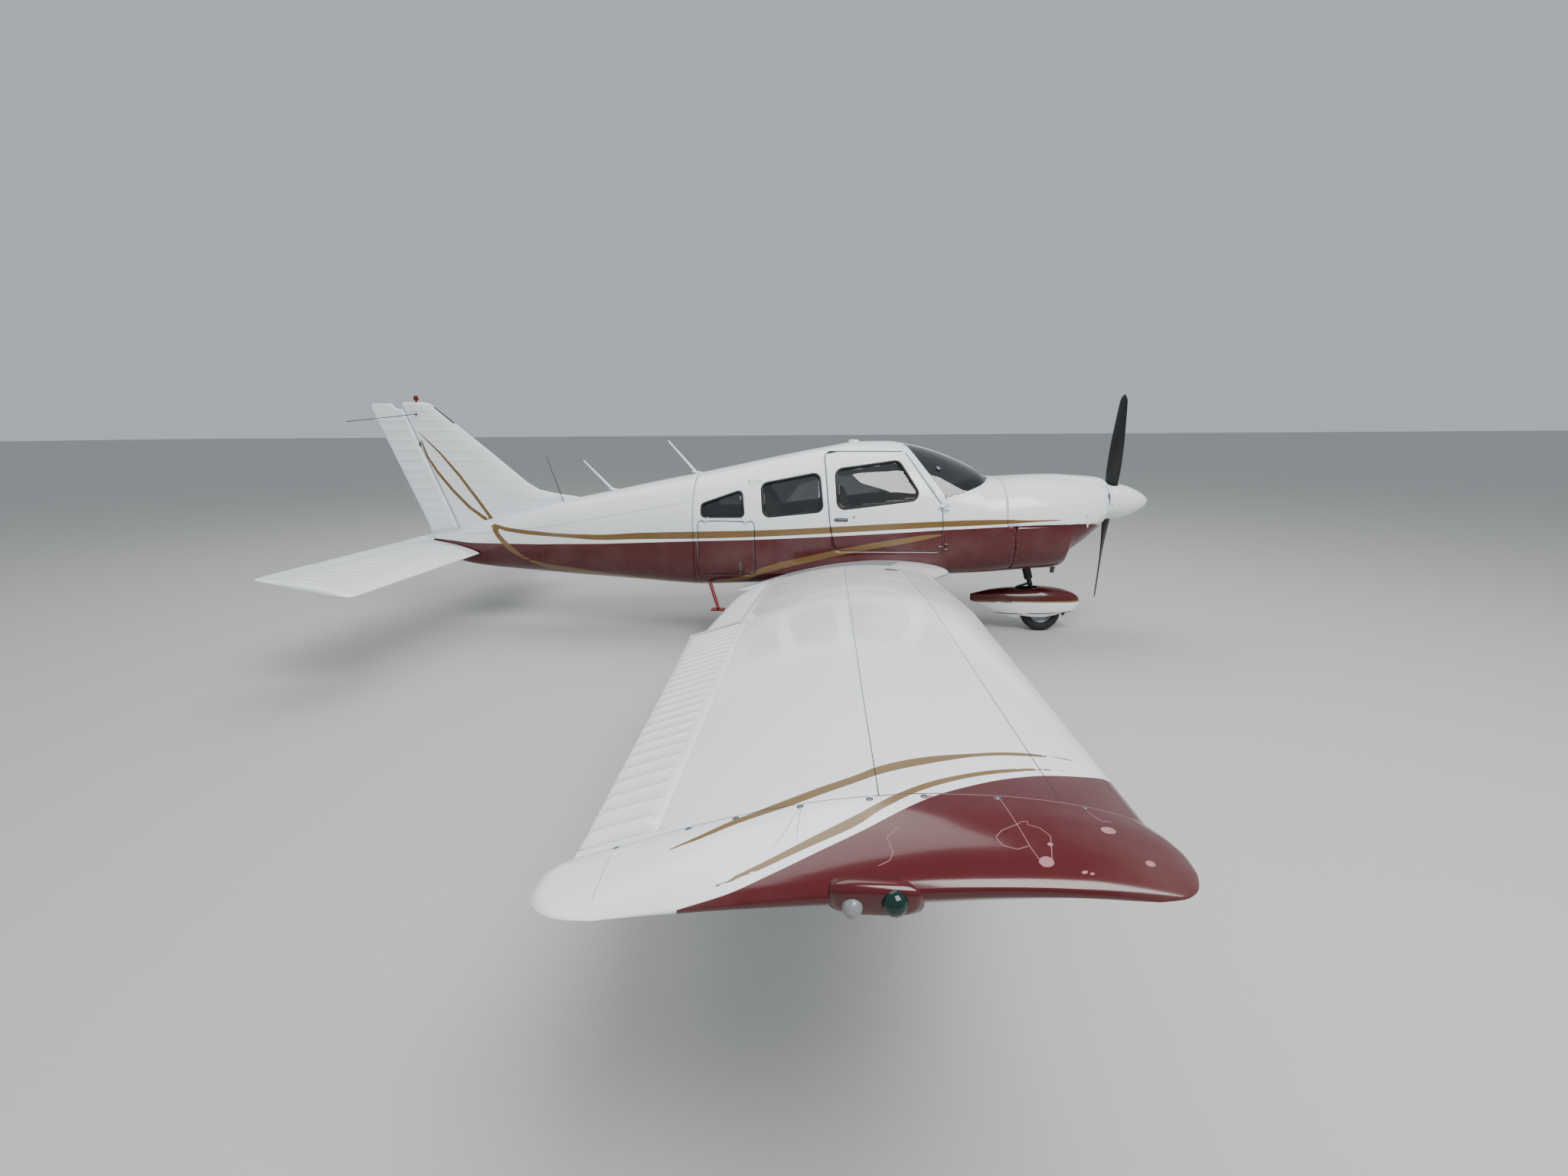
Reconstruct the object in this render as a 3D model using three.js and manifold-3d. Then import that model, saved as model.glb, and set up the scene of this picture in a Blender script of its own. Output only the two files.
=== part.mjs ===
// Four-seat low-wing light aircraft parked on its tricycle gear. Millimetres, +X nose, +Y port, +Z up.
// Stations below are measured from the leading edge of the straight wing panel (x = 0, nose positive)
// and from the ground; ORIGIN_X then moves the whole aircraft so that its bounding box is centred.
import * as THREE from 'three';
import { mergeVertices } from 'three/addons/utils/BufferGeometryUtils.js';
import Module from 'manifold-3d';

const wasm = await Module();
wasm.setup();

// driving dimensions
const ORIGIN_X = 1558;
const RING = 24;
const RING_INNER = 18;
const GAP = 0.5;
const SEAT = 0.3;
const DOOR_GAP = 8;
const CABIN_WALL = 40;
const TAIL_WALL = 14;
const COWL_WALL = 12;
const PANT_WALL = 8;
const GLASS_IN = 14;
const GLASS_T = 7;
const rad = (degrees) => degrees * Math.PI / 180;

// fuselage stations: x, top, bottom, half width, height of widest point, top exponent, bottom exponent
const HULL = [
  [1655, 1392, 1080, 190, 1225, 2.0, 2.0],
  [1640, 1410, 1050, 245, 1215, 2.0, 2.0],
  [1600, 1424, 1008, 310, 1190, 2.1, 2.0],
  [1546, 1433, 958, 352, 1160, 2.2, 2.1],
  [1429, 1442, 858, 415, 1120, 2.4, 2.2],
  [1304, 1449, 758, 462, 1090, 2.5, 2.4],
  [1271, 1451, 716, 472, 1085, 2.5, 2.6],
  [1244, 1453, 648, 480, 1080, 2.6, 2.8],
  [1150, 1456, 634, 505, 1070, 2.6, 3.0],
  [952, 1458, 628, 535, 1060, 2.6, 3.2],
  [770, 1451, 618, 552, 1050, 2.6, 3.4],
  [680, 1448, 614, 558, 1045, 2.6, 3.6],
  [604, 1450, 610, 560, 1040, 2.5, 3.8],
  [475, 1530, 603, 563, 1035, 2.3, 3.9],
  [330, 1602, 597, 565, 1030, 2.2, 4.0],
  [150, 1674, 587, 567, 1030, 2.2, 4.0],
  [0, 1719, 580, 568, 1030, 2.2, 4.0],
  [-133, 1748, 572, 569, 1030, 2.2, 4.0],
  [-300, 1771, 562, 570, 1030, 2.2, 4.0],
  [-552, 1768, 547, 570, 1030, 2.2, 4.0],
  [-870, 1719, 528, 566, 1025, 2.2, 4.0],
  [-1137, 1670, 511, 558, 1020, 2.2, 3.9],
  [-1390, 1620, 495, 546, 1010, 2.2, 3.8],
  [-1607, 1575, 482, 530, 1000, 2.2, 3.7],
  [-1845, 1526, 468, 505, 990, 2.2, 3.6],
  [-2035, 1488, 461, 480, 980, 2.2, 3.5],
  [-2214, 1455, 465, 452, 970, 2.2, 3.3],
  [-2511, 1398, 480, 402, 955, 2.2, 3.1],
  [-2865, 1326, 499, 347, 935, 2.2, 2.9],
  [-3190, 1262, 517, 297, 920, 2.2, 2.8],
  [-3530, 1186, 540, 245, 900, 2.2, 2.7],
  [-3820, 1120, 560, 200, 885, 2.2, 2.6],
  [-4200, 1030, 592, 140, 868, 2.2, 2.5],
  [-4460, 938, 640, 95, 850, 2.2, 2.4],
  [-4705, 882, 826, 16, 856, 2.0, 2.0],
];
// stations that the inner walls leave out
const INNER_SKIP = [1640, 1546, 1150, 330, 0, -300, -870, -1390, -1845, -2214, -2865, -3530, -4200];
const COWL = { front: 1655, seamTop: 690, seamLow: 772, split: 1062 };
const TAIL_JOINT = -2030;

// side-view outlines (x, z) of the cut-outs, with a corner radius
const DOOR = { r: 55, inner: -230, pts: [[-1000, 1690], [-164, 1690], [-12, 1461], [143, 1241], [172, 842],
  [-1000, 842]], far: [[-770, 842], [-812, 1060], [-851, 1494], [-868, 1690]] };
const WIN_FRONT = { r: 62, pts: [[-766, 1539], [-222, 1612], [-22, 1291], [-742, 1203]] };
const WIN_REAR = { r: 55, pts: [[-1411, 1416], [-904, 1512], [-870, 1190], [-1386, 1137]] };
const WIN_AFT = { r: 35, pts: [[-1945, 1240], [-1583, 1363], [-1558, 1137], [-1943, 1130]] };
const BAGGAGE = { r: 40, inner: -300, top: 1097, far: [[-1466, 610], [-1986, 600]] };
// hinge lines outside the skin (from, to), and where along them the hinges sit
const HINGE = { r: 6, strap: 4, half: 12, end: 18, depth: 46,
  door: { line: [[160, -577, 842], [160, -577, 1690]], at: [45, 395], reach: 48, foot: 22 },
  baggage: { line: [[-1466, -549, 1103], [-1986, -491, 1103]], at: [80, 440], reach: 24, foot: 12 } };
const SCREEN = [[-160, 1745], [172, 1290], [326, 1330], [475, 1386], [606, 1455], [620, 1900], [-260, 1900]];
const POST_HALF = 22;

// wing: spanwise y, leading edge x, trailing edge x
const WING = [
  [520, 212, -1600], [620, 208, -1600], [700, 160, -1600], [1020, 12, -1600], [1100, 0, -1600],
  [2700, 0, -1600], [5111, -148, -1351],
];
const WING_Z = { root: 609, rootY: 570, dihedral: 5.2, twistY: 700, rootAngle: 5.2, tipAngle: 5.4,
  thick: 0.15, fullChord: 1600, thickChord: 1610, pivot: 0.4 };
// tip, outboard of its seam: distance, share of the thickness, trailing edge forward, leading edge back
const TIP = [[0, 1.0, 0, 0], [66, 0.9, 8, 6], [132, 0.72, 26, 16], [188, 0.48, 62, 40], [224, 0.26, 118, 84],
  [240, 0.1, 175, 130]];
const TIP_SWEEP = { ahead: 0.1, back: 0.02, rise: 0.22 };
const TIP_LAMP = { x: -680, out: 228, up: 6, length: 42, r: 24 };
const FLAP = { y0: 650, y1: 2660, hinge0: -1290, hinge1: -1290, gauge: 1200, rest: 10 };
const AILERON = { y0: 2735, y1: 5075, hinge0: -1285, hinge1: -1186, gauge: 2735 };
const SURFACE_GAP = 8;
const PIN_R = 6;

const SPINNER = { base: 1668, tip: 2064, r: 166, z: 1225 };
const PROP = { x: 1722, lean: 7.2, hub: 62 };
const NOSE = { x: 1186, r: 180, w: 128, axle: 10, top: [1020, 630], rake: 17, tube: 22,
  pant: { length: 1012, ahead: 356, half: 128, top: 425, bottom: 100, slot: 92 } };
const MAIN = { x: -795, y: 1525, r: 222, w: 160, axle: 14,
  pant: { length: 1120, ahead: 400, half: 155, top: 500, bottom: 118, slot: 108 } };
const FIN = { le: [[-3200, 1262], [-3420, 1290], [-3600, 1330], [-3720, 1405], [-4063, 1701], [-4570, 2122]],
  hinge0: [-4454, 949], hinge1: [-4900, 2140], pins: { at: [150, 1050], half: 12, r: 10, notch: 18 },
  foot: 930, taper: 0.022, half: 52, shut: 34, body: 2122, cap: [2116, 2122.5, 2140, 2154] };
const RUDDER = { heights: [950, 1200, 1500, 1800, 2078, 2090], cap: [2090, 2128, 2142],
  teFoot: [-4712, 904], teSlope: 0.3886, capNose: 58 };
const BEACON = { x: -4725, mast: 10, r: 24, foot: 2140, base: 2172, top: 2218 };
const WHISKER = { root: [-4722, 8, 2040], elbow: [-4722, 52, 2040], tip: [-5160, 395, 1972],
  foot: 9, r: 3.5 };
const WHEEL_SIDES = 20;
// radius where tyre and wheel meet, as a share of the tyre's
const BEAD = 0.56;
const TORQUE_R = 22;
const STAB = { pivot: [-4380, 765], le: -4190, te: -4900, half: 1960, angle: 10, tabY: 1350, tabX: -4790 };

// solid helpers
function lerpTable(table, key, column) {
  const rising = table[1][0] > table[0][0];
  const rows = rising ? table : [...table].reverse();
  const xs = rows.map((row) => row[0]);
  const ys = rows.map((row) => row[column]);
  const last = xs.length - 1;
  if (key <= xs[0]) return ys[0];
  if (key >= xs[last]) return ys[last];
  let i = 0;
  while (key > xs[i + 1]) i += 1;
  const slope = (k) => (ys[k + 1] - ys[k]) / (xs[k + 1] - xs[k]);
  const tangent = (k) => {
    if (k === 0) return slope(0);
    if (k === last) return slope(last - 1);
    const a = slope(k - 1);
    const b = slope(k);
    return a * b <= 0 ? 0 : 2 * a * b / (a + b);
  };
  const h = xs[i + 1] - xs[i];
  const t = (key - xs[i]) / h;
  const t2 = t * t;
  const t3 = t2 * t;
  return (2 * t3 - 3 * t2 + 1) * ys[i] + (t3 - 2 * t2 + t) * h * tangent(i)
    + (3 * t2 - 2 * t3) * ys[i + 1] + (t3 - t2) * h * tangent(i + 1);
}

// closed three.js geometry turned into a solid that can be joined and cut
function solidFrom(geometry) {
  geometry.deleteAttribute('normal');
  geometry.deleteAttribute('uv');
  const merged = mergeVertices(geometry, 1e-3);
  return new wasm.Manifold(new wasm.Mesh({
    numProp: 3,
    vertProperties: new Float32Array(merged.attributes.position.array),
    triVerts: new Uint32Array(merged.index.array),
  }));
}

function signedVolume(points, faces) {
  let sum = 0;
  for (const [a, b, c] of faces) {
    const [p, q, r] = [points[a], points[b], points[c]];
    sum += p[0] * (q[1] * r[2] - q[2] * r[1]) + p[1] * (q[2] * r[0] - q[0] * r[2])
      + p[2] * (q[0] * r[1] - q[1] * r[0]);
  }
  return sum;
}

// closed skin through a row of rings with equal point counts, capped at both ends
function loft(rings) {
  const n = rings[0].length;
  const last = rings.length - 1;
  const points = rings.flat();
  const faces = [];
  for (let i = 0; i < last; i += 1) {
    for (let k = 0; k < n; k += 1) {
      const a = i * n + k;
      const b = i * n + (k + 1) % n;
      faces.push([a, b, b + n], [a, b + n, a + n]);
    }
  }
  const span = (ring, k) => Math.max(...ring.map((p) => p[k])) - Math.min(...ring.map((p) => p[k]));
  [[rings[0], 0, -1], [rings[last], last * n, 1]].forEach(([ring, offset, facing]) => {
    const spans = [0, 1, 2].map((k) => span(ring, k));
    const drop = spans.indexOf(Math.min(...spans));
    const [u, v] = [(drop + 1) % 3, (drop + 2) % 3];
    const flat = ring.map((p) => new THREE.Vector2(p[u], p[v]));
    const turn = THREE.ShapeUtils.area(flat) > 0 ? 1 : -1;
    THREE.ShapeUtils.triangulateShape(flat, []).forEach(([i, j, k]) => {
      const corner = THREE.ShapeUtils.area([flat[i], flat[j], flat[k]]) > 0 ? 1 : -1;
      const tri = corner * turn * facing > 0 ? [i, j, k] : [i, k, j];
      faces.push(tri.map((m) => m + offset));
    });
  });
  const outward = signedVolume(points, faces) > 0 ? faces : faces.map(([a, b, c]) => [a, c, b]);
  const geometry = new THREE.BufferGeometry();
  geometry.setAttribute('position', new THREE.BufferAttribute(new Float32Array(points.flat()), 3));
  geometry.setIndex(outward.flat());
  return solidFrom(geometry);
}

// solid of revolution about `axis` through `centre`; profile is a closed loop of (along the axis, radius)
function turned(centre, axis, profile, n = 32) {
  const outline = profile.map(([along, r]) => new THREE.Vector2(r, along));
  const geometry = new THREE.LatheGeometry([...outline, outline[0]], n);
  geometry.applyQuaternion(new THREE.Quaternion().setFromUnitVectors(
    new THREE.Vector3(0, 1, 0), new THREE.Vector3(...axis).normalize()));
  return outwards(geometry.translate(...centre));
}

function outwards(geometry) {
  const solid = solidFrom(geometry);
  if (solid.volume() > 0) return solid;
  const index = geometry.index.array;
  for (let i = 0; i < index.length; i += 3) [index[i], index[i + 1]] = [index[i + 1], index[i]];
  return solidFrom(geometry);
}

// straight round bar from one [x, y, z, radius] to the next
function bar(a, b, n = 16) {
  const [p, q] = [new THREE.Vector3(...a), new THREE.Vector3(...b)];
  const geometry = new THREE.CylinderGeometry(b[3], a[3], p.distanceTo(q), n);
  geometry.applyQuaternion(new THREE.Quaternion().setFromUnitVectors(
    new THREE.Vector3(0, 1, 0), q.clone().sub(p).normalize()));
  return solidFrom(geometry.translate(...p.add(q).multiplyScalar(0.5)));
}

// round bar of constant radius along a smooth curve through points
function bent(points, radius, steps = 20, n = 10) {
  const circle = new THREE.Shape(Array.from({ length: n }, (_, k) => new THREE.Vector2(
    radius * Math.cos(k / n * 2 * Math.PI), radius * Math.sin(k / n * 2 * Math.PI))));
  const path = new THREE.CatmullRomCurve3(points.map((p) => new THREE.Vector3(...p)));
  return solidFrom(new THREE.ExtrudeGeometry(circle, { steps, extrudePath: path, bevelEnabled: false }));
}

const box = (x0, x1, y0, y1, z0, z1) => solidFrom(new THREE.BoxGeometry(x1 - x0, y1 - y0, z1 - z0)
  .translate((x0 + x1) / 2, (y0 + y1) / 2, (z0 + z1) / 2));

// outline extruded along one axis; the outline's two numbers are the other axes in x, y, z order
function extruded(points, low, high, columns) {
  const shape = new THREE.Shape(points.map(([u, v]) => new THREE.Vector2(u, v)));
  const geometry = new THREE.ExtrudeGeometry(shape, { depth: high - low, bevelEnabled: false });
  geometry.translate(0, 0, low);
  const axes = columns.map((k) => new THREE.Vector3().setComponent(k, 1));
  geometry.applyMatrix4(new THREE.Matrix4().makeBasis(...axes));
  if (axes[0].clone().cross(axes[1]).dot(axes[2]) > 0) return solidFrom(geometry);
  const position = geometry.attributes.position.array;
  for (let i = 0; i < position.length; i += 9) {
    for (let k = i; k < i + 3; k += 1) [position[k], position[k + 3]] = [position[k + 3], position[k]];
  }
  return solidFrom(geometry);
}
const prismX = (points, a, b) => extruded(points, Math.min(a, b), Math.max(a, b), [1, 2, 0]);
const prismY = (points, a, b) => extruded(points, Math.min(a, b), Math.max(a, b), [0, 2, 1]);
const prismZ = (points, a, b) => extruded(points, Math.min(a, b), Math.max(a, b), [0, 1, 2]);
const union = (list) => list.reduce((a, b) => a.add(b));
const cutAll = (body, list) => list.reduce((a, b) => a.subtract(b), body);

// outline with rounded corners, moved outwards by `grow`
function rounded(pts, r, grow = 0, steps = 3) {
  const n = pts.length;
  let turn = 0;
  pts.forEach((p, i) => {
    const q = pts[(i + 1) % n];
    turn += p[0] * q[1] - p[1] * q[0];
  });
  const sign = turn > 0 ? 1 : -1;
  const lines = pts.map((p, i) => {
    const q = pts[(i + 1) % n];
    const d = [q[0] - p[0], q[1] - p[1]];
    const len = Math.hypot(...d);
    const normal = [d[1] / len * sign, -d[0] / len * sign];
    return { p: [p[0] + normal[0] * grow, p[1] + normal[1] * grow], d: [d[0] / len, d[1] / len] };
  });
  const corner = (a, b) => {
    const det = a.d[0] * b.d[1] - a.d[1] * b.d[0];
    if (Math.abs(det) < 1e-6) return [...b.p];
    const t = ((b.p[0] - a.p[0]) * b.d[1] - (b.p[1] - a.p[1]) * b.d[0]) / det;
    return [a.p[0] + a.d[0] * t, a.p[1] + a.d[1] * t];
  };
  const grown = lines.map((line, i) => corner(lines[(i + n - 1) % n], line));
  const out = [];
  grown.forEach((p, i) => {
    const a = grown[(i + n - 1) % n];
    const b = grown[(i + 1) % n];
    const u = [a[0] - p[0], a[1] - p[1]];
    const v = [b[0] - p[0], b[1] - p[1]];
    const lu = Math.hypot(...u);
    const lv = Math.hypot(...v);
    const half = Math.acos((u[0] * v[0] + u[1] * v[1]) / lu / lv) / 2;
    const radius = Math.max(r + grow, 2);
    const reach = Math.min(radius / Math.tan(half), lu * 0.45, lv * 0.45);
    if (half > rad(78)) {
      out.push(p);
      return;
    }
    const start = [p[0] + u[0] / lu * reach, p[1] + u[1] / lu * reach];
    const end = [p[0] + v[0] / lv * reach, p[1] + v[1] / lv * reach];
    for (let k = 0; k <= steps; k += 1) {
      const t = k / steps;
      const w = [(1 - t) * (1 - t), 2 * t * (1 - t), t * t];
      out.push([0, 1].map((c) => w[0] * start[c] + w[1] * p[c] + w[2] * end[c]));
    }
  });
  return out;
}

// fuselage surface
function hullRing(x, inset, ring = RING) {
  const col = (c) => lerpTable(HULL, x, c);
  const w = Math.max(col(3) - inset, 3);
  const mid = col(4);
  const top = Math.max(col(1) - inset - mid, 3);
  const low = Math.max(mid - col(2) - inset, 3);
  return Array.from({ length: ring }, (_, k) => {
    const a = (k + 0.5) / ring * 2 * Math.PI;
    const c = Math.cos(a);
    const s = Math.sin(a);
    const power = 2 / (s >= 0 ? col(5) : col(6));
    return [x, w * Math.sign(c) * Math.abs(c) ** power,
      mid + (s >= 0 ? top : low) * Math.sign(s) * Math.abs(s) ** power];
  });
}

function hull(x0, x1, inset, inner = false) {
  const between = HULL.map(([x]) => x).filter((x) => x > x0 + 8 && x < x1 - 8)
    .filter((x) => !(inner && INNER_SKIP.includes(x)));
  return loft([x1, ...between, x0].map((x) => hullRing(x, inset, inner ? RING_INNER : RING)));
}

// half width of the skin at a station and a height
function skinY(x, z) {
  const col = (c) => lerpTable(HULL, x, c);
  const up = z >= col(4);
  const share = Math.abs(z - col(4)) / (up ? col(1) - col(4) : col(4) - col(2));
  const power = up ? col(5) : col(6);
  return col(3) * Math.max(1 - share ** power, 0) ** (1 / power);
}

const shell = (x0, x1, outer, wall) => hull(x0, x1, outer).subtract(hull(x0 - 1, x1 + 1, wall, true));

// wing surface
// half thickness of the laminar section along the chord, as a share of its greatest value
const SECTION = [[0, 0.0], [0.006, 0.16], [0.02, 0.28], [0.05, 0.43], [0.1, 0.6], [0.18, 0.79], [0.28, 0.93],
  [0.4, 1.0], [0.52, 0.955], [0.64, 0.81], [0.76, 0.58], [0.88, 0.29], [1.0, 0.03]];
const CAMBER = 0.022;

function foil(share, flatLow = 1) {
  const upper = SECTION.map(([t, h]) => [t, h * share / 2 + CAMBER * 4 * t * (1 - t)]);
  const lower = SECTION.slice(1).map(([t, h]) => [t, -h * share / 2 * flatLow + CAMBER * 4 * t * (1 - t)]);
  return [...upper, ...lower.reverse()];
}

const [tipY, tipLe, tipTe] = WING[WING.length - 1];
const midZ = (y) => WING_Z.root + (Math.abs(y) - WING_Z.rootY) * Math.tan(rad(WING_Z.dihedral));
const angleAt = (y) => {
  const t = Math.min(Math.max((Math.abs(y) - WING_Z.twistY) / (tipY - WING_Z.twistY), 0), 1);
  return rad(WING_Z.rootAngle + (WING_Z.tipAngle - WING_Z.rootAngle) * t);
};

function linear(table, key, column) {
  let i = 0;
  while (i < table.length - 2 && key > table[i + 1][0]) i += 1;
  const t = (key - table[i][0]) / (table[i + 1][0] - table[i][0]);
  return table[i][column] + t * (table[i + 1][column] - table[i][column]);
}

function wingRing(y) {
  const le = linear(WING, y, 1);
  const te = linear(WING, y, 2);
  const chord = le - te;
  const share = WING_Z.thick * Math.min(1, WING_Z.thickChord / chord);
  const pivot = le - WING_Z.pivot * Math.min(chord, WING_Z.fullChord);
  return foil(share).map(([t, h]) => {
    const x = le - chord * t;
    return [x, y, midZ(y) + (x - pivot) * Math.tan(angleAt(y)) + h * chord];
  });
}

function mirror(solid) {
  return solid.mirror([0, 1, 0]);
}

const hingeZ = (y, x) => {
  const ring = wingRing(y);
  const half = SECTION.length;
  const pick = (pts) => {
    for (let i = 0; i + 1 < pts.length; i += 1) {
      const [a, b] = [pts[i], pts[i + 1]];
      if ((a[0] - x) * (b[0] - x) <= 0) return a[2] + (b[2] - a[2]) * (x - a[0]) / (b[0] - a[0]);
    }
    return pts[0][2];
  };
  const up = pick(ring.slice(0, half));
  const down = pick([ring[0], ...ring.slice(half).reverse()]);
  return { mid: (up + down) / 2, half: (up - down) / 2 };
};

// a control surface cut from the wing: round nose about its hinge and everything behind it, its ends square
// to the hinge so that they turn in their own planes
function surfaceParts({ y0, y1, hinge0, hinge1, gauge }) {
  const [a, b] = [[y0, hinge0, gauge], [y1, hinge1, y1]].map(([y, x, thickAt]) => (
    { point: new THREE.Vector3(x, y, hingeZ(y, x).mid), half: hingeZ(thickAt, x).half * 0.97 }));
  const axis = b.point.clone().sub(a.point).normalize();
  const length = a.point.distanceTo(b.point);
  const up = new THREE.Vector3(0, 0, 1).addScaledVector(axis, -axis.z).normalize();
  const aft = new THREE.Vector3().crossVectors(up, axis);
  const place = new THREE.Matrix4().makeBasis(aft, axis, new THREE.Vector3().crossVectors(aft, axis))
    .setPosition(a.point);
  const along = (t) => a.point.clone().addScaledVector(axis, t).toArray();
  const taper = (t) => a.half + (b.half - a.half) * t / length;
  const nose = (grow, dy) => bar([...along(-dy), taper(0) + grow],
    [...along(length + dy), taper(length) + grow], 20);
  const behind = (grow) => box(-grow, 700, -grow, length + grow, -400, 400).transform(place.elements);
  const pin = (from, to) => bar([...along(from), PIN_R], [...along(to), PIN_R], 12);
  const pins = () => [pin(-SURFACE_GAP - 6, -SEAT), pin(length + SEAT, length + SURFACE_GAP + 6)];
  return { a: a.point, b: b.point, axis, nose, behind, pins };
}

function turnAbout(solid, point, axis, degrees) {
  const m = new THREE.Matrix4().makeTranslation(...point.toArray())
    .multiply(new THREE.Matrix4().makeRotationAxis(axis, rad(degrees)))
    .multiply(new THREE.Matrix4().makeTranslation(...point.clone().negate().toArray()));
  return solid.transform(m.elements);
}

const wingBody = loft(WING.map(([y]) => wingRing(y)));
const flapParts = surfaceParts(FLAP);
const aileronParts = surfaceParts(AILERON);
const hullClear = hull(-4700, 1655, -GAP);
const movingSurface = (parts) => wingBody.intersect(parts.behind(0).add(parts.nose(0, 0)));
const flapSolid = turnAbout(movingSurface(flapParts), flapParts.a, flapParts.axis, -FLAP.rest);
const aileronSolid = movingSurface(aileronParts);
const bay = (parts) => parts.behind(SURFACE_GAP).add(parts.nose(SURFACE_GAP, SURFACE_GAP));
const wingSolid = union([cutAll(wingBody, [bay(flapParts), bay(aileronParts)]), ...flapParts.pins(),
  ...aileronParts.pins()]);

// wing tip: section shrinking towards its upper surface, corners rounded in plan
const tipRings = TIP.map(([out, thin, back, ahead]) => {
  const y = tipY + out;
  const seamChord = tipLe - tipTe;
  const le = tipLe - ahead - out * TIP_SWEEP.ahead;
  const chord = le - (tipTe + back + out * TIP_SWEEP.back);
  const pivot = le - WING_Z.pivot * chord;
  const rise = (1 - thin) * seamChord * WING_Z.thick * TIP_SWEEP.rise;
  return foil(WING_Z.thick).map(([t, h]) => {
    const x = le - chord * t;
    return [x, y + GAP, midZ(y) + (x - pivot) * Math.tan(angleAt(y)) + h * seamChord * thin + rise];
  });
});
const tipSolid = loft(tipRings);

// node list
const group = new THREE.Group();
group.name = 'light_aircraft';
const airframe = new THREE.Group();
airframe.position.x = ORIGIN_X;
group.add(airframe);

// finish: colour, roughness, metalness
const FINISH = {
  white: [0xe9ecee, 0.25, 0],
  maroon: [0x4c0a10, 0.3, 0.1],
  dark: [0x1b1c1e, 0.7, 0],
  glass: [0x2e3a40, 0.05, 0],
  rubber: [0x18181a, 0.9, 0],
  metal: [0x9a9ca0, 0.4, 0.9],
  seat: [0x6d6559, 0.8, 0],
  black: [0x0d0d0e, 0.5, 0],
  green: [0x0d3b33, 0.1, 0],
  red: [0x7a1010, 0.1, 0],
};

function add(name, solid, finish, { at = [0, 0, 0], lean = 0 } = {}) {
  const mesh = solid.getMesh();
  const geometry = new THREE.BufferGeometry();
  geometry.setAttribute('position', new THREE.BufferAttribute(new Float32Array(mesh.vertProperties), 3));
  geometry.setIndex(new THREE.BufferAttribute(new Uint32Array(mesh.triVerts), 1));
  geometry.computeVertexNormals();
  const [color, roughness, metalness] = FINISH[finish];
  const item = new THREE.Mesh(geometry, new THREE.MeshStandardMaterial({ color, roughness, metalness }));
  item.name = name;
  item.position.set(...at);
  item.rotation.x = rad(lean);
  airframe.add(item);
}

// cowling and engine
const rakeX = (z) => NOSE.top[0] + (NOSE.top[1] - z) * Math.tan(rad(NOSE.rake));
const above = (z) => box(-5000, 2200, -900, 900, z, 2000);
const below = (z) => box(-5000, 2200, -900, 900, 300, z);
const cowlShell = hull(COWL.seamTop, COWL.front, 0)
  .subtract(hull(COWL.seamTop - 1, COWL.front - COWL_WALL, COWL_WALL, true));
const shaftHole = bar([1600, 0, SPINNER.z, 75], [1700, 0, SPINNER.z, 75], 20);
const inletCorners = [[105, 1195], [290, 1205], [275, 1305], [105, 1340]];
const inlets = [-1, 1].map((side) => prismX(rounded(inletCorners.map(([y, z]) => [side * y, z]), 30), 1500,
  1700));
const chinScoop = prismX(rounded([[-90, 905], [90, 905], [75, 985], [-75, 985]], 25), 1380, 1640);
const cowlOpen = cutAll(cowlShell, [shaftHole, ...inlets, chinScoop]);
const outlet = box(1202, 1264, -210, 210, 560, 740);
const strutHole = (r) => bar([rakeX(900), 0, 900, r], [rakeX(400), 0, 400, r], 20);
add('cowl_top', cowlOpen.intersect(above(COWL.split + SEAT / 2)), 'white');
const cowlChin = cowlOpen.intersect(below(COWL.split - SEAT / 2))
  .intersect(box(COWL.seamLow + SEAT, 2200, -900, 900, 300, 1400));
add('cowl_lower', cutAll(cowlChin, [outlet, strutHole(46)]), 'maroon');
const engine = box(900, 1540, -370, 370, 850, 1290).intersect(hull(600, 1655, 60));
const flange = bar([1500, 0, SPINNER.z, 46], [SPINNER.base - 6 - SEAT, 0, SPINNER.z, 46]);
const exhaust = bar([1238, -140, 880, 20], [1238, -140, 700, 20], 14)
  .add(bar([1238, -140, 700, 20], [1222, -140, 585, 20], 14));
add('engine_block', union([engine, flange, exhaust]), 'metal');

add('firewall', union([
  hull(COWL.seamTop - 80, COWL.seamTop - 1, CABIN_WALL + GAP, true)
    .intersect(box(640, 652, -800, 800, 400, 1600)),
  ...[-1, 1].flatMap((side) => [
    bar([650, side * 250, 1180, 13], [899.4, side * 250, 1180, 13], 8),
    bar([650, side * 250, 900, 13], [899.4, side * 250, 900, 13], 8),
  ]),
  bar([700, -250, 1180, 9], [700, 250, 1180, 9], 8),
  ...[-1, 1].map((side) => bar([700, side * 250, 900, 9], [700, side * 250, 1180, 9], 8)),
]), 'metal');

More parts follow.
